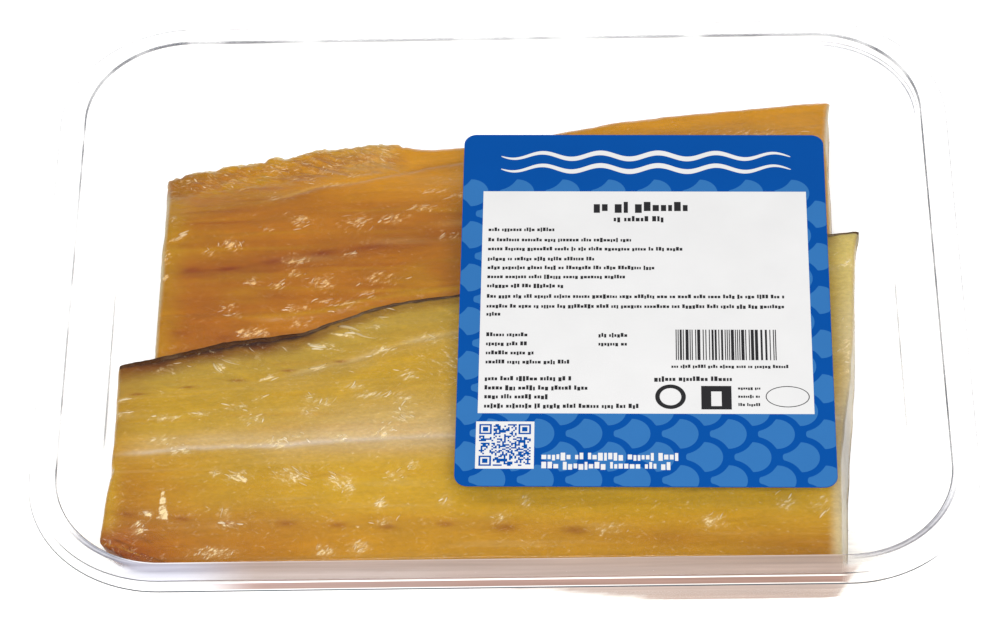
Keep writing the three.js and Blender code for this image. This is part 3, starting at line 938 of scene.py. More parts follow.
def sheenMask(x, y, sheens):
    # Long patches, each strength times e to the minus squares of the distances along and across it
    total = np.zeros(np.shape(x))
    for centreX, centreY, length, width, turn, strength in sheens:
        angle = math.radians(turn)
        along = (x - centreX) * math.cos(angle) + (y - centreY) * math.sin(angle)
        across = (y - centreY) * math.cos(angle) - (x - centreX) * math.sin(angle)
        total = np.maximum(total, strength * bell(along, 0, length) * bell(across, 0, width))
    return total


def boneSpots(x, y, line, pitch, start, lengthX, widthY):
    # A row of long dimples along a line, 1 at the middle of each
    offset = (x - start) / pitch
    nearest = np.round(offset)
    sway = 0.7 * np.sin(nearest * 2.3)
    return bell(x, start + nearest * pitch + sway, lengthX) * bell(y, line(x) + sway * 0.6, widthY)


def frontTop(x, y):
    far = frontFillet["far"](x)
    near = frontFillet["near"](x)
    share = (y - near) / (far - near)
    crown = 21.6 + 1.4 * np.sin(np.pi * np.clip((x + 95) / 180, 0, 1))
    nearSlope = 3.4 * fade(share, 0.04, 0.36)
    farTop = frontUnderside(x, far) + frontFillet["farThickness"]
    farShare = smoothStep(share, 0.5, 1)
    return mix(crown - nearSlope, farTop, farShare)


def frontRelief(x, y):
    far = frontFillet["far"](x)
    seam = lines["frontSeam"](x)
    farLine = lines["frontFarLine"](x)
    beyond = smoothStep(y - farLine, -1, 2)
    middle = smoothStep(y - seam, 0, 4) * (1 - beyond)
    strength = 0.45 + 0.55 * smoothStep(patchNoise(x / 12 + 5, y / 9 + 5, 31), -0.4, 0.6)
    return sum([
        0.3 * strength * beyond * flakeSteps(x, y, 28, 8.5, 11),
        0.2 * strength * middle * flakeSteps(x, y, -34, 9.5, 12),
        0.08 * strength * fade(y - seam, -4, 0) * flakeSteps(x, y, 38, 11, 13),
        -0.4 * bell(y, seam, 1.5) * (0.7 + 0.3 * patchNoise(x / 7, y / 7, 14)),
        -0.2 * bell(y, farLine, 0.9) * smoothStep(x, -70, -50),
        -0.06 * boneSpots(x, y, lines["frontBones"], 12.6, -90.3, 3.4, 1.3),
        0.35 * roughNoise(x / 26 + 3, y / 14 + 3, 15),
        0.04 * roughNoise(x / 3.4 + 3, y / 1.5 + 3, 18),
        0.5 * bell(x, -97, 6) * bell(y, -73, 6) * roughNoise(x / 3 + 1, y / 3 + 1, 19),
        0.35 * bell(y, far, 2.2) * roughNoise(x / 4 + 9, y / 3 + 9, 20),
    ])


# Each cluster: middle x and y, spread in x and y, count, angle, spread of the angle, half length
frontCrests = [
    (-38, -7, 2.4, 0.7, 5, -22, 5, 4.2), (-44.5, -10, 2.4, 0.8, 6, -20, 6, 3.6),
    (-32.5, -4.6, 2.4, 0.5, 3, -20, 5, 3.8), (-31, -1, 2.4, 0.6, 3, -16, 6, 2.4),
    (-24.5, 1, 2.4, 0.8, 3, -16, 8, 2), (-69.8, -16.5, 0.5, 1, 3, -52, 5, 3.4),
    (-68, -14, 1.8, 0.4, 3, -26, 6, 3), (-61, -12, 0.6, 0.8, 2, -50, 8, 1.8),
    (-54.5, -9.5, 0.8, 0.8, 2, -50, 8, 1.6), (-84, -16, 5, 1.2, 4, -20, 20, 1.3),
    (-57, -20, 0.6, 0.5, 4, 28, 4, 3.4), (-45.5, -17.4, 1, 0.5, 3, 20, 6, 2.6),
    (-30, -13, 4, 1, 5, 20, 8, 1.8), (-18, -9.6, 4, 0.8, 4, 18, 8, 1.8),
    (-23.5, -21.7, 1.8, 1, 9, 20, 40, 1.1), (-36.6, -24.8, 2.2, 0.8, 8, 12, 24, 1.3),
    (-33, -28, 3, 0.8, 9, 52, 8, 1.9), (-44, -29.7, 1.6, 0.8, 6, 62, 10, 1.5),
    (-47.5, -28.1, 1.2, 1.2, 4, -50, 20, 1.2), (-48, -32.8, 1.4, 0.8, 5, 20, 30, 1.1),
    (-24, -29, 2, 1.6, 5, 40, 30, 1.2), (-65.3, -30.1, 1.6, 0.6, 6, -12, 12, 1.5),
    (-74.3, -32.1, 2.2, 0.4, 5, -12, 8, 1.6), (-82.3, -33.4, 3.2, 0.7, 6, 12, 16, 1.3),
    (-60, -27.5, 1, 0.8, 3, 10, 20, 1.1), (-93, -26.3, 1.4, 0.4, 3, 16, 6, 2.2),
    (-92.6, -31.2, 1.6, 0.4, 3, 10, 6, 1.8), (-61, -34.5, 2, 1.2, 9, 20, 40, 1.1),
    (-24.7, -34.9, 1.8, 1.6, 10, -40, 24, 1.3), (-28.7, -39.3, 2, 1, 12, 20, 40, 1.2),
    (-54.9, -42.3, 2.4, 0.9, 12, 24, 30, 1.2), (-50.5, -40.4, 1.6, 0.8, 6, 24, 30, 1),
    (-78.3, -43.8, 2.2, 0.6, 8, 24, 24, 1.2), (-83, -40.6, 3, 0.8, 7, 20, 40, 1),
    (-40, -41.4, 2.4, 0.6, 6, 10, 20, 1.2), (-69.2, -50.6, 0.8, 0.8, 5, 20, 60, 0.9),
    (-63.7, -52.1, 2, 1, 14, -38, 10, 1.5), (-51.2, -51.9, 3, 1.3, 18, -32, 10, 1.5),
    (-40, -53.7, 2, 1.4, 10, -40, 20, 1.3), (-37.2, -55.6, 0.8, 1.6, 8, 40, 30, 1),
    (-25.5, -52.6, 2, 0.7, 7, 30, 40, 1), (-22.4, -49.7, 1.2, 0.6, 4, 30, 20, 1),
    (-66.8, -61.9, 0.8, 1.6, 5, 60, 20, 1.2), (-29.8, -59.9, 0.9, 1.2, 9, 50, 30, 1.2),
    (-28.4, -64.8, 1.6, 0.5, 5, 10, 20, 1), (-14, -59.6, 0.8, 1.2, 4, 50, 30, 1),
    (-85.4, -61.5, 0.8, 0.5, 6, 4, 10, 1), (-87.3, -65.4, 0.8, 1.4, 8, 40, 40, 0.9),
    (-34.7, -71.1, 1.8, 1.2, 10, 50, 24, 1.1), (-69.5, -71.9, 5, 1, 9, 62, 10, 1.1),
    (-42.4, -72.1, 2, 1.2, 6, 62, 10, 1.1), (-66, -64.6, 3, 0.4, 4, 0, 8, 1.1),
    (5, -59.8, 0.9, 1.2, 5, 62, 14, 1.3), (-1, -64, 1.6, 0.8, 4, 20, 30, 0.9),
    (49.5, -65, 2.6, 1.2, 7, 46, 14, 1.2), (67.6, -60.2, 1.6, 1.2, 5, 52, 10, 1.5),
    (24, -67, 3, 1, 4, 10, 30, 0.9), (76, -60, 1.6, 1.6, 5, 48, 8, 1.8), (86, 12, 1, 0.8, 6, 10, 20, 1.1),
    (84.5, -16, 0.8, 6, 8, 20, 40, 0.9), (10, -18, 20, 8, 30, -10, 30, 1.8),
    (50, -20, 20, 14, 30, -10, 30, 1.8),
]
# Larger shining patches: middle x and y, half length, half width, turn, strength
frontSheens = [
    (-63.3, -52.4, 2.3, 0.7, -38, 1.8), (-54.4, -42.2, 1.7, 0.9, 30, 1.5), (-28.9, -40.3, 2, 1.1, 25, 1.4),
    (-29.6, -59.8, 1.9, 0.8, 74, 1.6), (-46.1, -9.6, 2.8, 0.7, -16, 1.9), (-42, -11.4, 2.4, 0.4, -20, 1.6),
    (-40.6, -6.5, 2.9, 0.5, -16, 1.8), (-58.1, -20.4, 2.4, 0.5, 26, 1.8), (-22.7, -22.3, 2.2, 1, -20, 1.3),
    (-50.2, -52.4, 2.4, 1, 10, 1.3), (-85.2, -61.7, 1.2, 0.5, 2, 1.9), (-37.8, -55.4, 1.6, 0.5, 80, 1.4),
    (-70, -16.9, 2.2, 0.4, -48, 1.6), (-44.5, -17.4, 2.2, 0.35, 20, 1.5),
    (-30.5, -13.4, 3.4, 0.4, 18, 1.3),
]
backCrests = [
    (-82.4, 28.1, 1, 0.6, 6, 34, 5, 2.4), (-84.2, 34.8, 0.7, 1.4, 6, 50, 30, 0.9),
    (-85.4, 15, 0.5, 0.8, 4, 30, 30, 0.9), (-85.6, 22, 0.4, 4, 4, 60, 20, 0.9),
    (-74.6, 23, 0.9, 0.7, 6, 40, 40, 0.6), (-68.9, 25.6, 1.6, 1.2, 14, 30, 60, 1),
    (-51.9, 32.5, 2, 1, 12, 22, 14, 1.4), (-60.1, 30.1, 1, 0.5, 5, 26, 10, 1.2),
    (-37.2, 32.4, 2.4, 1.4, 14, 34, 20, 1.3), (-28, 33, 3, 1.4, 9, 30, 24, 1.2),
    (-21, 36.3, 3, 0.7, 8, 24, 6, 1.8), (-10, 40, 3, 0.9, 7, 24, 10, 1.8),
    (-52.8, 19.9, 2.8, 0.6, 9, 6, 20, 1.1), (-38.9, 21.7, 1.4, 0.7, 6, 20, 20, 1.2),
    (-13.9, 26.3, 2, 1, 7, 16, 20, 1.2), (-63.3, 13.2, 1, 0.8, 8, -30, 30, 1),
    (-56.7, 12.1, 1.6, 0.8, 9, 34, 10, 1.4), (-52.7, 15.2, 1.6, 1, 5, 34, 20, 1.1),
    (-45.6, 12.4, 2.4, 1.3, 18, 34, 46, 1.2), (-31.8, 13.4, 4, 1.6, 6, 30, 20, 1.2),
    (-69, 5.4, 1.8, 0.4, 4, 6, 6, 1.3), (-66.8, 3, 2.4, 0.4, 5, 4, 6, 1.4),
    (-52.5, 4.4, 4, 0.5, 7, 6, 6, 2), (-45.2, 6.8, 1.2, 0.5, 6, 10, 20, 1.2),
    (-39.5, 6, 3.6, 0.5, 6, 14, 6, 2), (-34, 8.6, 2, 0.6, 6, 20, 8, 1.6),
    (-62, -2.3, 3.4, 0.6, 9, 8, 20, 1.2), (-51, 0.5, 3, 0.8, 5, 12, 20, 1.2),
    (-17.6, 42.5, 3, 0.6, 5, 4, 8, 1.6), (-59, 41.3, 0.7, 0.5, 4, 24, 10, 1.2),
    (-44, 46, 4, 0.5, 5, 14, 8, 1.4), (-50.3, 48.7, 1.6, 0.8, 7, 10, 30, 1),
    (-68.3, 51.1, 1.6, 1, 8, 10, 40, 0.9), (-66.7, 46.1, 1, 0.6, 4, 10, 40, 0.9),
    (-71.8, 49.3, 1.6, 0.7, 5, 10, 40, 0.9), (-37.7, 50.1, 2.6, 1, 8, 14, 30, 1.1),
    (-30.9, 58.4, 1.4, 2, 10, -34, 16, 1.4), (-34.8, 59.5, 1.6, 2, 10, -34, 20, 1.2),
    (-45.5, 52.9, 2.4, 1.6, 12, 10, 40, 1.1), (-59.5, 55.1, 3, 1.4, 10, 10, 30, 1.1),
    (-52, 57, 4, 1.8, 12, -10, 34, 1.1), (-80, 52, 3, 1.2, 7, 10, 30, 1), (20, 44, 18, 6, 20, 16, 20, 1.5),
    (60, 56, 16, 6, 18, 12, 20, 1.5),
]
backSheens = [
    (-83, 28, 2.3, 0.8, 30, 1.8), (-69.1, 25.4, 1.8, 0.9, 20, 1.4), (-63.3, 12.8, 1.1, 0.6, -20, 1.8),
    (-45.4, 12.3, 2.2, 1.2, 30, 1.25), (-51.9, 33.2, 2.6, 1, 15, 1.3), (-85.1, 15.6, 1, 0.5, 80, 1.6),
    (-51.1, 19.5, 3, 0.6, 5, 1.4), (-38.9, 21.8, 2.6, 0.7, 15, 1.4), (-65.3, -2, 2.8, 0.7, 10, 1.5),
]


def tornZone(x, y):
    # 1 on the ragged strip along the far edge of the back fillet, left of the smooth stretch
    far = backFillet["far"](x)
    lower = np.minimum(far - 8, mix(44.5, 50.5, smoothStep(x, -70, -30)))
    return smoothStep(y - lower, -2, 3) * fade(x, -31, -23)


def backTop(x, y):
    return floorTop + lieGap + backBody(x, y)


def backRelief(x, y):
    far = backFillet["far"](x)
    torn = tornZone(x, y)
    line = lines["backLine"](x)
    low = lines["backLow"](x)
    strength = 0.4 + 0.6 * smoothStep(patchNoise(x / 14 + 5, y / 8 + 5, 61), -0.3, 0.6)
    boneStrength = (0.6 + 0.4 * np.sin(x / 3.1 + 1)) * (1 - 0.7 * smoothStep(x, -30, 0))
    shown = smoothStep(x, -62, -50) * fade(x, -16, 4)
    along = 0.87 * x - 0.5 * y
    across = 0.5 * x + 0.87 * y
    crag = roughNoise(along / 5 + 40, across / 1.7 + 40, 67) + 0.4 * roughNoise(x / 7 + 3, y / 4 + 3, 70)
    return sum([
        -0.35 * bell(y, lines["backBones"](x), 2.0) * boneStrength,
        shown * (0.2 * bell(y, line - 2.2, 1.8) - 0.25 * bell(y, line, 0.9)),
        0.3 * bell(y, lines["backMid"](x), 2.8) * strength,
        0.1 * bell(y, low - 1.6, 0.9) - 0.14 * bell(y, low, 0.7) - 0.1 * bell(y, low - 3.4, 0.7),
        -0.15 * bell(y, 33.5 + 0.06 * x, 0.8) * smoothStep(x, -88, -70) * fade(x, -60, -40),
        0.14 * strength * flakeSteps(x, y, 24, 10, 62) * (1 - torn),
        0.35 * roughNoise(x / 30 + 3, y / 10 + 3, 63),
        0.05 * roughNoise(x / 4.5 + 3, y / 1.5 + 3, 66),
        0.5 * torn * crag,
        0.2 * bell(y, far, 2.5) * roughNoise(x / 3 + 1, y / 3 + 1, 71),
    ])


def openBackRelief(x, y):
    # No relief where the front fillet lies on top
    return backRelief(x, y) * smoothStep(y - frontFillet["far"](x), -2, 4)


def tornEdge(x):
    # Uneven far edge of the back fillet, roughest where it is torn
    rough = 0.3 + 0.8 * fade(x, -30, -22)
    fine = 0.4 * patchNoise(x / 1.2 + 5, x * 0 + 0.5, 86) * fade(x, -30, -22)
    return rough * roughNoise(x / 5.5 + 11, x * 0 + 2.5, 81, 4) + fine - 0.2


def skinEdge(x):
    return 0.3 * roughNoise(x / 6 + 11, x * 0 + 7.5, 84) + 0.15 * patchNoise(x / 1.3 + 3, x * 0 + 0.5, 88)


frontFillet.update({"top": frontTop, "under": frontUnderside, "relief": frontRelief, "ragged": skinEdge,
                    "skinReach": skinReach})
backFillet.update({"top": backTop, "under": backUnderside, "relief": openBackRelief, "ragged": tornEdge})


def surface(fillet, u, s, upper, rise=0.0, rimmed=False):
    # Points of the fillet's top or underside: u from end to end, s from the near edge to the far one.
    # height = side height + (face height - side height) * the quarter circles of both long edges
    startX = fillet["left"](np.array(0.0))
    endX = fillet["right"](np.array(0.0))
    middleX = mix(startX, endX, u)
    far = fillet["far"](middleX) + fillet["ragged"](middleX) - rimmed * fillet["rim"](middleX)
    near = fillet["near"](middleX)
    y = mix(near, far, mix(s, (1 - np.cos(np.pi * s)) / 2, 0.7))
    waver = fillet["waver"]
    leftEnd = fillet["left"](y) + waver * patchNoise(y / 6 + 20, y * 0 + 0.5, 91)
    rightEnd = fillet["right"](y) + waver * patchNoise(y / 6 + 20, y * 0 + 1.5, 92)
    flatX = mix(leftEnd, rightEnd, u)
    under = fillet["under"](flatX, y) + rise
    top = fillet["top"](flatX, y)
    side = mix(under, top, fillet["bulge"])
    nearRound = shoulder(y - near, fillet["nearTop"] if upper else fillet["nearUnder"])
    farRound = shoulder(far - y, fillet["farTop"] if upper else fillet["farUnder"])
    full = nearRound * farRound
    if upper:
        fromEnd = np.minimum(middleX - startX, endX - middleX)
        endDrop = fillet["endDepth"] * (1 - shoulder(fromEnd, fillet["endRounding"]))
        z = mix(side, top - endDrop + fillet["relief"](flatX, y), full)
    else:
        z = mix(side, under, full)
    height = (z - floorTop) / leanHeight
    left = leftEnd + fillet["leftLean"](y) * height
    right = rightEnd - fillet["rightLean"](y) * height
    return np.stack(keepInTray(mix(left, right, u), y, z), axis=-1)


def filletGrid(stations, columns):
    # Stations lie closest where the label doesn't hide the fillets
    along = np.linspace(0, 1, stations)
    u = curveThrough([(0, 0), (0.35, 0.255), (0.68, 0.5), (0.93, 0.93), (1, 1)])(along)
    s = np.linspace(0, 1, columns)
    return np.meshgrid(u, s, indexing="ij")


def closeSeams(piece):
    # Points that lie on each other become one, so that the solid is closed
    work = bmesh.new()
    work.from_mesh(piece.data)
    bmesh.ops.remove_doubles(work, verts=work.verts, dist=2e-6)
    bmesh.ops.recalc_face_normals(work, faces=work.faces)
    work.to_mesh(piece.data)
    work.free()


def pointsOf(piece):
    # Places in millimetres and normals of all points of a piece
    count = len(piece.data.vertices)
    place = np.empty(count * 3)
    normal = np.empty(count * 3)
    piece.data.vertices.foreach_get("co", place)
    piece.data.vertices.foreach_get("normal", normal)
    return place.reshape(-1, 3) / mm, normal.reshape(-1, 3)


def makeFlesh(name, fillet, colours, node, material, stations=280, ratio=5, underColumns=53):
    # The top has a column for every fifth of an underside column. Each cut end is a grid of rows below the
    # top edge, its last row joined to the underside by polygons that span one underside column each.
    topColumns = ratio * (underColumns - 1) + 1
    u, s = filletGrid(stations, topColumns)
    top = surface(fillet, u, s, True, fillet["skin"], True)
    u, s = filletGrid(stations, underColumns)
    under = surface(fillet, u, s, False, fillet["skin"], True)
    under[:, 0] = top[:, 0]
    under[:, -1] = top[:, -1]
    ringPoints = np.concatenate([under[:, :-1], top[:, :0:-1]], axis=1)
    points = [ringPoints.reshape(-1, 3)]
    faces = [gridFaces(stations, ringPoints.shape[1], wrap=True)]
    count = ringPoints.shape[0] * ringPoints.shape[1]
    wide = np.arange(topColumns)
    shares = np.array([1, 0.93, 0.84, 0.72, 0.56, 0.38, 0.2])[:, None, None]
    polygons = []
    for station in (0, stations - 1):
        low = under[station]
        lowWide = np.stack([np.interp(wide, wide[::ratio], low[:, axis]) for axis in range(3)], axis=1)
        cap = mix(lowWide[None], top[station][None], shares)
        uneven = roughNoise(cap[..., 1] / 4 + 30, cap[..., 2] / 2 + 30, 90)
        bow = 0.3 * np.sin(np.pi * shares[:, :, 0]) * uneven
        cap[..., 0] += bow * smoothStep(top[station, :, 2] - lowWide[:, 2], 0.5, 3)
        faces.append(gridFaces(len(shares), topColumns) + count)
        points.append(cap.reshape(-1, 3))
        lastRow = count + (len(shares) - 1) * topColumns
        count += cap.shape[0] * cap.shape[1]
        points.append(low)
        for i in range(underColumns - 1):
            above = range(lastRow + ratio * (i + 1), lastRow + ratio * i - 1, -1)
            polygons.append([count + i, count + i + 1, *above])
        count += underColumns
    piece = meshPiece(name, np.vstack(points), np.vstack(faces), node, extraFaces=polygons)
    closeSeams(piece)
    place, normal = pointsOf(piece)
    tint, amounts = colours(*place.T, normal)
    paintPoints(piece, "flesh", tint)
    for kind, amount in amounts.items():
        paintPoints(piece, kind, amount)
    piece.data.materials.append(material)


def paintOver(tints, ground, layers):
    # Starts from the ground's tint. Each layer moves a point's colour towards its tint by its own amount
    tint = tints[ground]
    for name, amount in layers:
        tint = tint + (tints[name] - tint) * np.clip(amount, 0, 1)[:, None]
    return tint


def seen(red, green, blue):
    # Colour that looks like the screen colour (0..255) under the studio's light and the wet coat's shine
    value = np.array([red, green, blue]) / 255
    linear = np.where(value <= 0.04045, value / 12.92, ((value + 0.055) / 1.055) ** 2.4)
    return np.maximum(linear * 0.77 - 0.026, 0.002)


frontTints = {
    "gold": seen(206, 164, 62), "sunlit": seen(206, 164, 62) * 1.25, "olive": seen(190, 158, 76),
    "pale": seen(216, 190, 142), "stone": seen(133, 121, 101), "lemon": seen(224, 204, 126),
    "chalk": seen(220, 202, 158), "amber": seen(192, 131, 46), "brown": seen(148, 90, 34),
    "crust": seen(150, 78, 12), "cut": seen(194, 176, 142), "dark": seen(66, 36, 8),
    "hem": seen(128, 84, 32), "lilac": seen(222, 204, 184),
}
frontMarks = [
    (1, -90, 2, -24.6, 0.5), (1, -77.6, 2, -22.9, 0.4), (1, -65.6, 2, -21, 0.5), (1, -53.2, 2, -17.8, 0.5),
    (1, -40.3, 1.6, -15.6, 0.4),
]


def frontColours(x, y, z, normals):
    # Colour of each point, and how much it glints each way, how wet and how torn it is
    far = frontFillet["far"](x)
    seam = lines["frontSeam"](x)
    farLine = lines["frontFarLine"](x)
    bones = lines["frontBones"]
    patch = roughNoise(x / 22 + 4, y / 9 + 4, 101)
    streak = roughNoise(x / 26 + 4, y / 1.1 + 4, 104)
    small = roughNoise(x / 6 + 4, y / 2.5 + 4, 108)
    # Olive beyond the far line, pale above the seam, amber and brown towards the near left
    layers = [
        ("olive", 0.8 * smoothStep(y - farLine, -2, 8)),
        ("olive", 0.35 * smoothStep(patch, 0, 0.7)),
        ("pale", 0.42 * bell(y, seam + 5, 7) * smoothStep(x, -80, -30)),
        ("amber", 0.25 * bell(y, seam - 4, 5) * smoothStep(-x, 60, 90)),
        ("amber", (0.85 - 0.3 * smoothStep(x, -60, -20)) * fade(y + 76, 5, 21)),
        ("amber", 0.6 * smoothStep(-x, 66, 90) * fade(y, -54, -44)),
        ("brown", 0.3 * fade(x, -98, -82)),
        ("brown", 0.3 * fade(y, -66, -36) * fade(x, -66, -34)),
    ]
    # Dark, wrinkled crust in the near-left corner, and fibres
    crust = bell(x, -93, 15) * fade(y, -73, -60)
    wrinkle = roughNoise((x + y) / 4 + 9, (y + 0.45 * x) / 0.9 + 9, 110)
    layers += [
        ("crust", 0.85 * crust),
        ("dark", 0.5 * crust * smoothStep(wrinkle, 0.25, 0.7)),
        ("gold", 0.5 * crust * smoothStep(-wrinkle, 0.35, 0.8)),
        ("gold", 0.7 * bell(x, -95, 2.6) * smoothStep(y, -68, -62) * fade(y, -50, -44)),
        ("amber", 0.2 * smoothStep(streak, 0.1, 0.8)),
        ("pale", 0.12 * smoothStep(-streak, 0.1, 0.8)),
    ]
    # Pale lines: the seam and the far line
    seamStrength = (0.7 + 0.3 * patchNoise(x / 9, y / 5, 106)) * smoothStep(x, -97, -84)
    lineStrength = smoothStep(x, -66, -40) * (0.6 + 0.4 * patchNoise(x / 7, y / 4, 107))
    layers += [
        ("lilac", 0.95 * bell(y, seam + 0.4 * small, 0.7) * seamStrength),
        ("lilac", 0.34 * bell(y, seam + 1.6, 3.2) * seamStrength),
        ("lilac", 0.26 * bell(y, seam - 2, 3.5) * smoothStep(x, -70, -20)),
        ("pale", 0.55 * bell(y, farLine, 0.8) * lineStrength),
        ("pale", 0.2 * bell(y, farLine - 1, 3) * lineStrength),
    ]
    # Brown spots of the pin bones, further apart to the right, and smoky patches
    spotX = x - 0.25 * np.maximum(x + 10, 0)
    boneRow = boneSpots(spotX, y, bones, 12.6, -90.3, 2.2, 0.75 + 0.25 * smoothStep(x, -10, 0))
    layers += [
        ("brown", 0.65 * boneRow * fade(x, 22, 28)),
        ("brown", spots(x, y, [(0.38, 72, 14, -73, 4.5)])),
        ("brown", spots(x, y, [(0.2, 40, 9, -70, 3.5)])),
        # Painted light: lighter just below the label's near edge, where the label's shadow falls on the
        # flesh
        ("sunlit", 0.5 * bell(y, -58.5, 4) * smoothStep(x, -2, 30)),
        ("brown", 0.16 * bell(y, bones(x), 2.4)),
        ("brown", 0.7 * spots(x, y, frontMarks)),
    ]
    # Shade along the skin's hem
    hem = far - y - frontFillet["rim"](x) - skinReach(x)
    hemBrown = 0.9 - 0.35 * smoothStep(x, -60, -20) + 0.2 * small
    shadeDepth = 2.5 + 0.8 * small - 1.5 * smoothStep(x, -56, -36) - 1.2 * fade(x, -94, -82)
    layers += [
        ("hem", hemBrown * fade(hem, 1.5, 7.5 - 3 * smoothStep(x, -60, -30))),
        ("dark", 0.95 * fade(hem, 0, shadeDepth)),
    ]
    # The right end: a pale rim, lemon far back, grey stone in its middle
    cut = smoothStep(np.abs(normals[:, 0]), 0.6, 0.9)
    golden = smoothStep(y, -32, -6)
    fromRight = frontFillet["right"](y) - frontFillet["rightLean"](y) - x
    outer = fade(z + 2 * small, 9, 18)
    atRight = smoothStep(x, -50, 0)
    paleRim = 0.85 * fade(fromRight, 0, 3.4) * (1 - golden) * atRight
    layers += [
        ("lemon", 0.8 * golden * smoothStep(x, 78, 87) * (1 - 0.5 * cut)),
        ("chalk", 0.75 * bell(y, -10, 14) * fade(fromRight, 0, 7) * atRight),
        ("cut", cut * (0.7 - 0.5 * golden) * atRight),
        ("chalk", np.maximum(paleRim, 0.6 * cut * outer * (1 - golden) * atRight)),
        ("stone", 0.95 * bell(y, -40, 14) * np.maximum(cut, 0.6 * paleRim) * atRight),
        ("gold", 0.5 * cut * fade(x, -50, 0)),
    ]
    # Painted glints: on the seam, in a wedge near the left, in clusters and in patches, with a faint pale
    # painted sheen round them
    uneven = 0.8 + 0.3 * patchNoise(x / 6, y / 6, 109)
    onSeam = 0.9 * bell(y, seam + 0.3, 1.1) * smoothStep(x, -90, -80) * uneven
    wedge = smoothStep(0.1 - 0.16 * (y + 53.6) - np.abs(x + 81.8), 0, 0.3) * smoothStep(y, -63.4, -62.6)
    onSeam = np.maximum(onSeam, 1.36 * wedge * smoothStep(-y, 53.6, 54.4))
    loose = 0.35 + 0.16 * small
    inside = smoothStep(hem, 1, 6)
    rising = np.maximum(inside * clusterMask(x, y, frontCrests, True), np.maximum(onSeam, loose))
    rising = np.maximum(rising, sheenMask(x, y, frontSheens))
    falling = np.maximum((0.4 + 0.6 * inside) * clusterMask(x, y, frontCrests, False), loose)
    patches = np.minimum(np.maximum(rising, falling), 1) - loose
    layers.append(("pale", 0.14 * patches * (1 - cut)))
    wet = (1 - 0.9 * fade(hem, 0.5, 5)) * (1 - 0.6 * crust)
    amounts = {"rising": rising * (1 - cut), "falling": falling * (1 - cut), "wet": wet, "torn": x * 0}
    return paintOver(frontTints, "gold", layers), amounts


backTints = {
    "amber": seen(184, 119, 30), "yellow": seen(196, 150, 54), "pale": seen(226, 182, 112),
    "orange": seen(198, 130, 24), "red": seen(140, 72, 16), "torn": seen(226, 162, 62),
    "cut": seen(208, 188, 146), "brown": seen(162, 96, 24), "bright": seen(224, 158, 36),
    "lemon": seen(240, 212, 150), "straw": seen(196, 150, 54) * 1.15, "sunlit": seen(224, 158, 36) * 1.25,
}


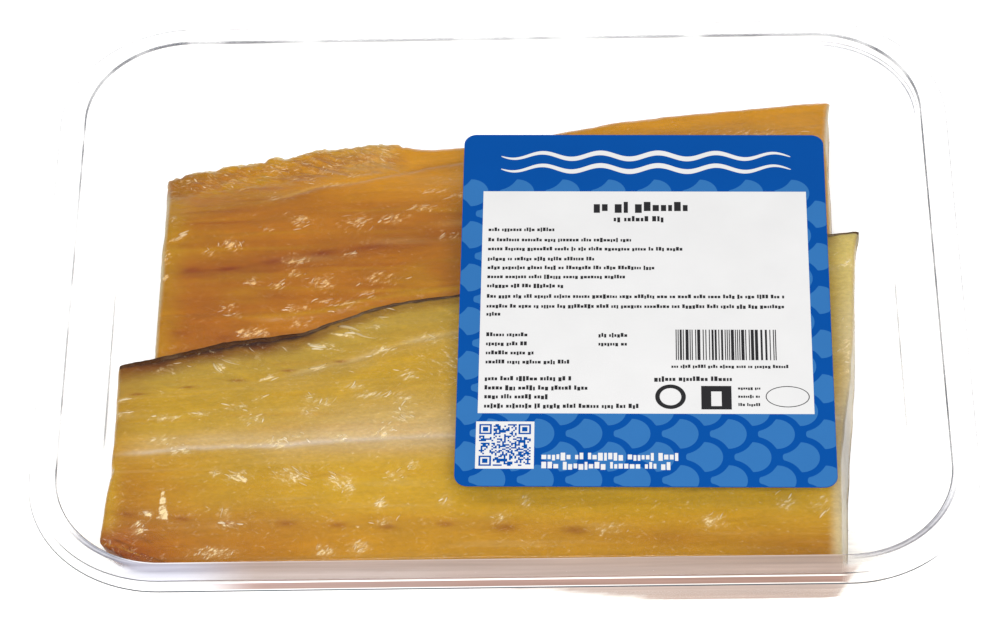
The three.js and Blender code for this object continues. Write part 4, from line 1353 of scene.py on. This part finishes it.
def backColours(x, y, z, normals):
    # Colour of each point, and how much it glints each way, how wet and how torn it is
    far = backFillet["far"](x)
    bones = lines["backBones"](x)
    line = lines["backLine"](x)
    low = lines["backLow"](x)
    torn = tornZone(x, y)
    patch = roughNoise(x / 22 + 4, y / 8 + 4, 121)
    streak = roughNoise(x / 30 + 4, y / 1.2 + 4, 124)
    small = roughNoise(x / 5 + 6, y / 2.2 + 6, 128)
    fold = roughNoise((0.87 * x - 0.5 * y) / 4 + 40, (0.5 * x + 0.87 * y) / 1.5 + 40, 131)
    fromLeft = x + 86.4
    fromEdge = far + tornEdge(x) - y
    shown = smoothStep(x, -66, -52) * fade(x, -16, 4)
    layers = [
        ("orange", 0.5 * smoothStep(patch, 0, 0.7)),
        ("yellow", 0.4 * smoothStep(-patch, 0, 0.7)),
        ("orange", 0.8 * smoothStep(y - line, 0, 5) * (1 - torn)),
        ("yellow", 0.35 * bell(y, bones + 7, 4) * fade(x, -76, -60)),
        ("brown", 0.42 * smoothStep(streak, 0.1, 0.8)),
        ("yellow", 0.38 * smoothStep(-streak, 0.1, 0.8)),
        ("torn", torn * (0.6 + 0.4 * small)),
        ("yellow", torn * 0.6 * smoothStep(fold, 0.1, 0.7)),
        ("red", torn * 0.36 * smoothStep(-fold, 0.1, 0.7)),
        ("red", spots(x, y, [(0.5, -80, 8, 54, 3)])),
    ]
    # Red-brown: the line of the bones with its dashes, and two streaks above it
    dashes = spots(x, y - bones, [(1, -80, 4, 0, 0.9), (1, -69.6, 3, -0.1, 0.7), (1, -57.6, 3, 0.3, 0.8),
                                  (1, -46, 3, 0, 0.9), (0.6, -33, 6, 0.2, 1)])
    layers += [
        ("red", 0.4 * bell(y, bones, 3.0) * fade(x, -20, 30)),
        ("red", 0.85 * dashes),
        ("red", 0.4 * spots(x, y, [(1, -72, 10, 32.8, 0.6), (0.7, -72, 10, 37, 0.8)])),
    ]
    # Pale lines and patches, then the left edge
    layers += [
        ("pale", 0.5 * bell(y, line, 0.6) * shown * fade(x, -46, -20)),
        ("pale", 0.12 * bell(y, line + 1.2, 1.8) * shown),
        ("yellow", 0.5 * bell(y, low - 1.6, 0.8) * smoothStep(x, -80, -56)),
        ("pale", spots(x, y, [(0.3, -50, 7, 20.6, 1)])),
        ("pale", spots(x, y, [(0.25, -27, 8, 25.5, 1.1)])),
        ("pale", spots(x, y, [(0.25, -8, 9, 31, 1.2)])),
        ("red", 0.75 * spots(x, y, [(1, -81.8, 3.4, -2.9, 1.2), (0.7, -69.6, 3, -3.8, 1)])),
        ("yellow", 0.55 * fade(fromLeft + 2 * small, 1, 8)),
        ("brown", 0.5 * bell(x, -74, 12) * fade(y, 4, 16)),
        ("cut", 0.5 * fade(fromLeft, 0.1, 1.0) * smoothStep(y, 0, 12)),
    ]
    # The torn strip: straw and lemon towards its rim, red at its left end; brighter amber to the right
    cut = smoothStep(np.abs(normals[:, 0]), 0.35, 0.75)
    cut = cut * (1 - torn * smoothStep(fromLeft, 0.5, 1.5))
    nearLabel = smoothStep(x, -58, -28) * fade(x, -12, 2) * smoothStep(y, 34, 48) * (1 - torn)
    layers += [
        ("straw", 0.55 * torn * fade(fromEdge, 2, 7)),
        ("lemon", 0.9 * torn * fade(fromEdge + 0.8 * small, 1.9, 3.1)),
        ("red", 0.5 * torn * fade(x, -86, -75) * smoothStep(fromEdge, 0.4, 2)),
        ("pale", 0.4 * torn * smoothStep(x, -52, -28)),
        ("bright", 0.55 * smoothStep(x, 0, 40) + 0.3 * smoothStep(x, 55, 75)),
        ("bright", 0.85 * smoothStep(x, -66, -38) * smoothStep(y - line, -1, 3) * (1 - torn)),
        ("red", spots(x, y, [(0.14, -58, 26, 18, 12)])),
        ("brown", 0.5 * smoothStep(x, 0, 20) * fade(far - y, 1.2, 2.2)),
        ("cut", 0.85 * cut),
        # Painted light: lighter near the label, where the label's shadow falls on the flesh
        ("sunlit", 0.6 * nearLabel * (1 - 0.7 * smoothStep(y, 49, 55))),
    ]
    loose = 0.35 + 0.16 * small
    rising = np.maximum(clusterMask(x, y, backCrests, True), loose)
    rising = np.maximum(rising, sheenMask(x, y, backSheens))
    falling = np.maximum(clusterMask(x, y, backCrests, False), np.maximum(0.8 * torn, loose))
    wet = (1 - 0.5 * cut) * (1 - 0.7 * torn) * (1 - 0.7 * shown * bell(y, line, 1.6))
    amounts = {"rising": rising * (1 - cut), "falling": falling * (1 - cut), "wet": wet,
               "torn": torn * smoothStep(fromEdge, 2, 3.5)}
    return paintOver(backTints, "amber", layers), amounts


wetness = {
    "glint": {"front": (0.78, 0.62, 0.34), "back": (0.76, 0.48, 0.2)}, "fleck": (0.3, 0.09, 0.01),
    "coat": 0.4, "coatRoughness": 0.1, "roughness": 0.42, "specular": 0.08,
}


def slantedGlints(tree, turn, amount, reach):
    # Short uneven patches of noise, longer along the given turn; the more the attribute says, the more show
    patches = noiseOf(tree, (560, 1150, 900), 3.0, 0.65, turn)
    level = combine(tree, "ADD", patches, remap(tree, amount, 0, 2, -reach, reach))
    sheen = remap(tree, level, 0.42, 0.56, 0, 0.26)
    return combine(tree, "MAXIMUM", sheen, remap(tree, level, 0.5, 0.64, 0, 1))


def wetFlesh(name, glint, values):
    # Moist smoked flesh: the painted tint with fibres along X, translucent, under a wet coat. Painted glints
    # lean both ways where the attributes say so, and dark flecks lie between them where it is torn
    material, tree, shader = newMaterial(name)
    fibre = noiseOf(tree, (40, 900, 900), 4.0, 0.6, 6)
    cloud = noiseOf(tree, (120, 170, 170), 4.0)
    grain = noiseOf(tree, (900, 1500, 1500))
    shade = combine(tree, "MULTIPLY", remap(tree, cloud, 0.25, 0.75, 0.93, 1.07),
                    remap(tree, grain, 0.3, 0.7, 0.92, 1.08))
    shade = combine(tree, "MULTIPLY", remap(tree, fibre, 0.25, 0.75, 0.94, 1.06), shade)
    colour = scaleColour(tree, attributeOf(tree, "flesh", "Color"), shade)
    glints = combine(tree, "MAXIMUM", slantedGlints(tree, 34, attributeOf(tree, "rising"), 0.3),
                     slantedGlints(tree, -30, attributeOf(tree, "falling"), 0.3))
    torn = attributeOf(tree, "torn")
    dark = combine(tree, "MULTIPLY", remap(tree, cloud, 0.52, 0.62, 0, 0.5), torn)
    dulled = combine(tree, "SUBTRACT", 0.85, combine(tree, "MULTIPLY", torn, 0.45))
    shine = combine(tree, "MULTIPLY", glints, dulled)
    colour = mixColours(tree, dark, colour, (*values["fleck"], 1))
    colour = mixColours(tree, shine, colour, (*values["glint"][glint], 1))
    bump = bumpOf(tree, glints, 0.5, 0.0002, Normal=bumpOf(tree, fibre, 0.25, 0.0002))
    coat = combine(tree, "MULTIPLY", attributeOf(tree, "wet"), values["coat"])
    plugIn(tree, shader, {"Base Color": colour, "Normal": bump, "Coat Normal": bump, "Coat Weight": coat,
                          "Coat Roughness": values["coatRoughness"], "Roughness": values["roughness"],
                          "Specular IOR Level": values["specular"], "Subsurface Weight": 0.12,
                          "Subsurface Radius": (1.0, 0.45, 0.12), "Subsurface Scale": 0.002})
    return material


def wetFold(name, values):
    # The folds' tint, painted highlights on the pale crests included, under a full wet coat
    material, tree, shader = newMaterial(name)
    plugIn(tree, shader, {"Base Color": attributeOf(tree, "flesh", "Color"),
                          "Roughness": values["roughness"], "Specular IOR Level": values["specular"],
                          "Coat Weight": attributeOf(tree, "wet"),
                          "Coat Roughness": values["coatRoughness"]})
    return material


def placeOn(fillet, x, y):
    # Points of a fillet's upper face above given places: u and s step towards each place
    startX = fillet["left"](np.array(0.0))
    length = fillet["right"](np.array(0.0)) - startX
    near = fillet["near"](x)
    depth = fillet["far"](x) - near
    u = np.clip((x - startX) / length, 0, 1)
    s = np.clip((y - near) / depth, 0, 1)
    for _ in range(12):
        spot = surface(fillet, u, s, True, fillet["skin"], True)
        u = np.clip(u + (x - spot[:, 0]) / length, 0, 1)
        s = np.clip(s + 0.8 * (y - spot[:, 1]) / depth, 0, 1)
    return surface(fillet, u, s, True, fillet["skin"], True)


def scatterCrests(clusters, generator):
    # One row for each crest: middle x and y, direction, half length, half width, height, paleness (the
    # strength of its painted highlight, a dull brown where negative), bow and taper. Long crests have a
    # broad head on their left and taper to the right.
    rows = []
    for middleX, middleY, spreadX, spreadY, count, angle, turn, length, *tone in clusters:
        pale = tone[0] if tone else 1
        kept = count if tone else max(count // 2, 1)
        for _ in range(kept):
            half = length * generator.uniform(0.35, 1.1)
            width = min(generator.uniform(0.12, 0.34) * (2.1 if length > 2.2 else 1), 0.55 * half)
            strength = 0.25 + 0.75 * generator.uniform() ** 1.3
            rows.append([middleX + generator.normal() * spreadX, middleY + generator.normal() * spreadY,
                         math.radians(angle + generator.normal() * turn), half, width,
                         width * generator.uniform(0.25, 0.55), pale * strength, generator.normal() * 0.12,
                         0.75 if length > 2.2 else 0])
    return np.array(rows)


foldShape = {
    "rings": 8,
    # Round a fold: how far across, how high, and how strongly its painted highlight shows (dull brown on
    # dull folds)
    "across": (-1, -0.7, -0.35, 0, 0.35, 0.7, 1, 0),
    "rise": (-0.25, 0.4, 0.85, 1, 0.85, 0.4, -0.25, -0.6),
    "paleness": (0, 0.25, 0.8, 1, 0.75, 0.2, 0, 0),
}


def makeCrests(name, fillet, colours, clusters, glint, dull, node, seed):
    # Fine folds of the wet surface. Each is a closed spindle: its width and height shrink to nothing at both
    # ends as sqrt(1 - a^2), less towards its head, and it bows sideways as a^2
    rows = scatterCrests(clusters, np.random.default_rng(seed))
    x, y, direction, half, width, height, pale, bow, taper = (rows[:, i, None, None] for i in range(9))
    rings = foldShape["rings"]
    a = np.linspace(-1, 1, rings)[None, :, None]
    b, rise, paleness = (np.array(foldShape[key])[None, None, :] for key in ("across", "rise", "paleness"))
    shrink = np.sqrt(1 - a * a) * (1 + 0.35 * taper - taper * (a + 1) / 2)
    lengthwise = a * half
    crosswise = b * width * shrink + bow * half * (a * a - 0.5)
    pointX = x + lengthwise * np.cos(direction) - crosswise * np.sin(direction)
    pointY = y + lengthwise * np.sin(direction) + crosswise * np.cos(direction)
    points = placeOn(fillet, pointX.ravel(), pointY.ravel())
    points[:, 2] += (rise * height * shrink).ravel()
    around = b.size
    foldFaces = gridFaces(rings, around, wrap=True)
    faces = (foldFaces[None] + (np.arange(len(rows)) * rings * around)[:, None, None]).reshape(-1, 4)
    upwards = np.tile([0.0, 0.0, 1.0], (len(points), 1))
    tint, amounts = colours(*points.T, upwards)
    full = np.ones(pointX.shape)
    amount = (np.abs(pale) * paleness * np.clip(1 - a * a, 0, 1) ** 0.7 * full).ravel()[:, None]
    toward = np.where((full * pale).ravel()[:, None] > 0, glint, dull)
    piece = meshPiece(name, points, faces, node)
    # Painted highlights along the crests of the pale folds, dull brown along the others
    paintPoints(piece, "flesh", tint + (toward - tint) * np.clip(amount, 0, 1))
    paintPoints(piece, "wet", 0.3 + 0.7 * amounts["wet"])
    closeSeams(piece)
    piece.data.materials.append(wetFold(name + " wet", wetness))


def crustRow(count, seed, lowX, highX, lowY, highY, angle, turn, length, tones):
    # Single folds scattered between two lines; those of a negative tone are dull
    generator = np.random.default_rng(seed)
    rows = []
    for _ in range(count):
        x = generator.uniform(lowX, highX)
        rows.append((x, generator.uniform(lowY(x), highY(x)), 0, 0, 1, angle, turn, length,
                     generator.choice(tones)))
    return rows


frontCrests += crustRow(90, 61, -98, -84, lambda x: -70 - 0.45 * (x + 98), lambda x: -66.5 - 0.45 * (x + 98),
                        -20, 50, 0.8, (-1.0, -0.8, -0.5, 0.5))
backCrests += crustRow(170, 62, -86, -27, lambda x: backFillet["far"](x) - 11,
                       lambda x: backFillet["far"](x) - 0.4, -26, 30, 1.0, (-0.5, 0.4, 0.8, 1.0))
goldFlesh = wetFlesh("golden wet flesh", "front", wetness)
amberFlesh = wetFlesh("amber wet flesh", "back", wetness)
makeFlesh("front_flesh", frontFillet, frontColours, "fillet_front", goldFlesh)
makeFlesh("back_flesh", backFillet, backColours, "fillet_back", amberFlesh)
makeCrests("front_folds", frontFillet, frontColours, frontCrests, seen(255, 240, 205), seen(132, 74, 28),
           "fillet_front", 51)
makeCrests("back_folds", backFillet, backColours, backCrests, seen(255, 226, 180), seen(132, 66, 22),
           "fillet_back", 52)
print("stage: flesh")


skinLook = {
    "mottleDark": (0.11, 0.07, 0.035), "mottlePale": (0.34, 0.26, 0.15), "rim": (0.068, 0.022, 0.003),
    "roughness": 0.8,
}


def skinMaterial(values):
    # Fish skin with small scales in rows: brown-black at the far edge, mottled grey-brown below
    material, tree, shader = newMaterial("fish skin")
    cells = addNode(tree, "ShaderNodeTexVoronoi", {"Vector": objectPlace(tree, (700, 1000, 1000), 30),
                                                   "Scale": 1.0}, "Distance")
    cloud = noiseOf(tree, (90, 130, 130), 4.0)
    mottled = mixColours(tree, remap(tree, cloud, 0.35, 0.68, 0, 1), (*values["mottleDark"], 1),
                         (*values["mottlePale"], 1))
    colour = mixColours(tree, attributeOf(tree, "rim"), mottled, (*values["rim"], 1))
    shade = remap(tree, cells, 0, 0.7, 1.15, 0.75)
    plugIn(tree, shader, {"Base Color": scaleColour(tree, colour, shade), "Roughness": values["roughness"],
                          "Specular IOR Level": 0.0, "Normal": bumpOf(tree, cells, 0.5, 0.0003)})
    return material


def makeSkin(name, fillet, node, material):
    # A thin shell: along the underside from the near edge, round the far side, and a little over the top.
    # The inner face is the outer one moved in: up below, and towards the front at the far side. The share of
    # the depth that the skin laps over, q, is at s = 1 - (sqrt(0.09 + 6.909 q) - 0.3) / 3.454
    stations = 260
    columns = 56
    lapColumns = 8
    u, s = filletGrid(stations, columns)
    outer = surface(fillet, u, s, False)
    depth = fillet["far"](outer[:, :1, 0]) - fillet["near"](outer[:, :1, 0])
    lap = fillet["skinReach"](outer[:, :1, 0]) * np.linspace(0, 1, lapColumns)[None, 1:] / depth
    turned = surface(fillet, u[:, :1] + 0 * lap, 1 - (np.sqrt(0.09 + 6.909 * lap) - 0.3) / 3.454, True,
                     fillet["skin"])
    path = np.concatenate([outer, turned], axis=1)
    count = path.shape[1]
    width = np.maximum(fillet["rim"](path[..., 0]), 0.3)
    below = np.clip((count - lapColumns - np.arange(count)) / 3, 0, 1)[None, :] + width * 0
    inwards = np.stack([width * 0, (below - 1) * width, below * fillet["skin"] * 0.96], axis=2)
    ringPoints = np.concatenate([path, (path + inwards)[:, ::-1]], axis=1)
    size = ringPoints.shape[1]
    faces = gridFaces(stations, size, wrap=True)
    strip = np.arange(count - 1)
    startCap = np.stack([strip, size - 1 - strip, size - 2 - strip, strip + 1], axis=1)
    endCap = (startCap + (stations - 1) * size)[:, ::-1]
    piece = meshPiece(name, ringPoints.reshape(-1, 3), np.vstack([faces, startCap, endCap]), node)
    closeSeams(piece)
    x, y, z = pointsOf(piece)[0].T
    hem = fillet["far"](x) - y
    lighter = 0.3 * (smoothStep(x, -60, -40) + smoothStep(x, 0, 40))
    lighter = lighter + 0.25 * roughNoise(x / 3 + 9, x * 0, 95)
    paintPoints(piece, "rim", fade(hem, 2, 14) * np.clip(1 - lighter, 0, 1))
    piece.data.materials.append(material)


skin = skinMaterial(skinLook)
makeSkin("front_skin", frontFillet, "fillet_front", skin)
makeSkin("back_skin", backFillet, "fillet_back", skin)
print("stage: skin")
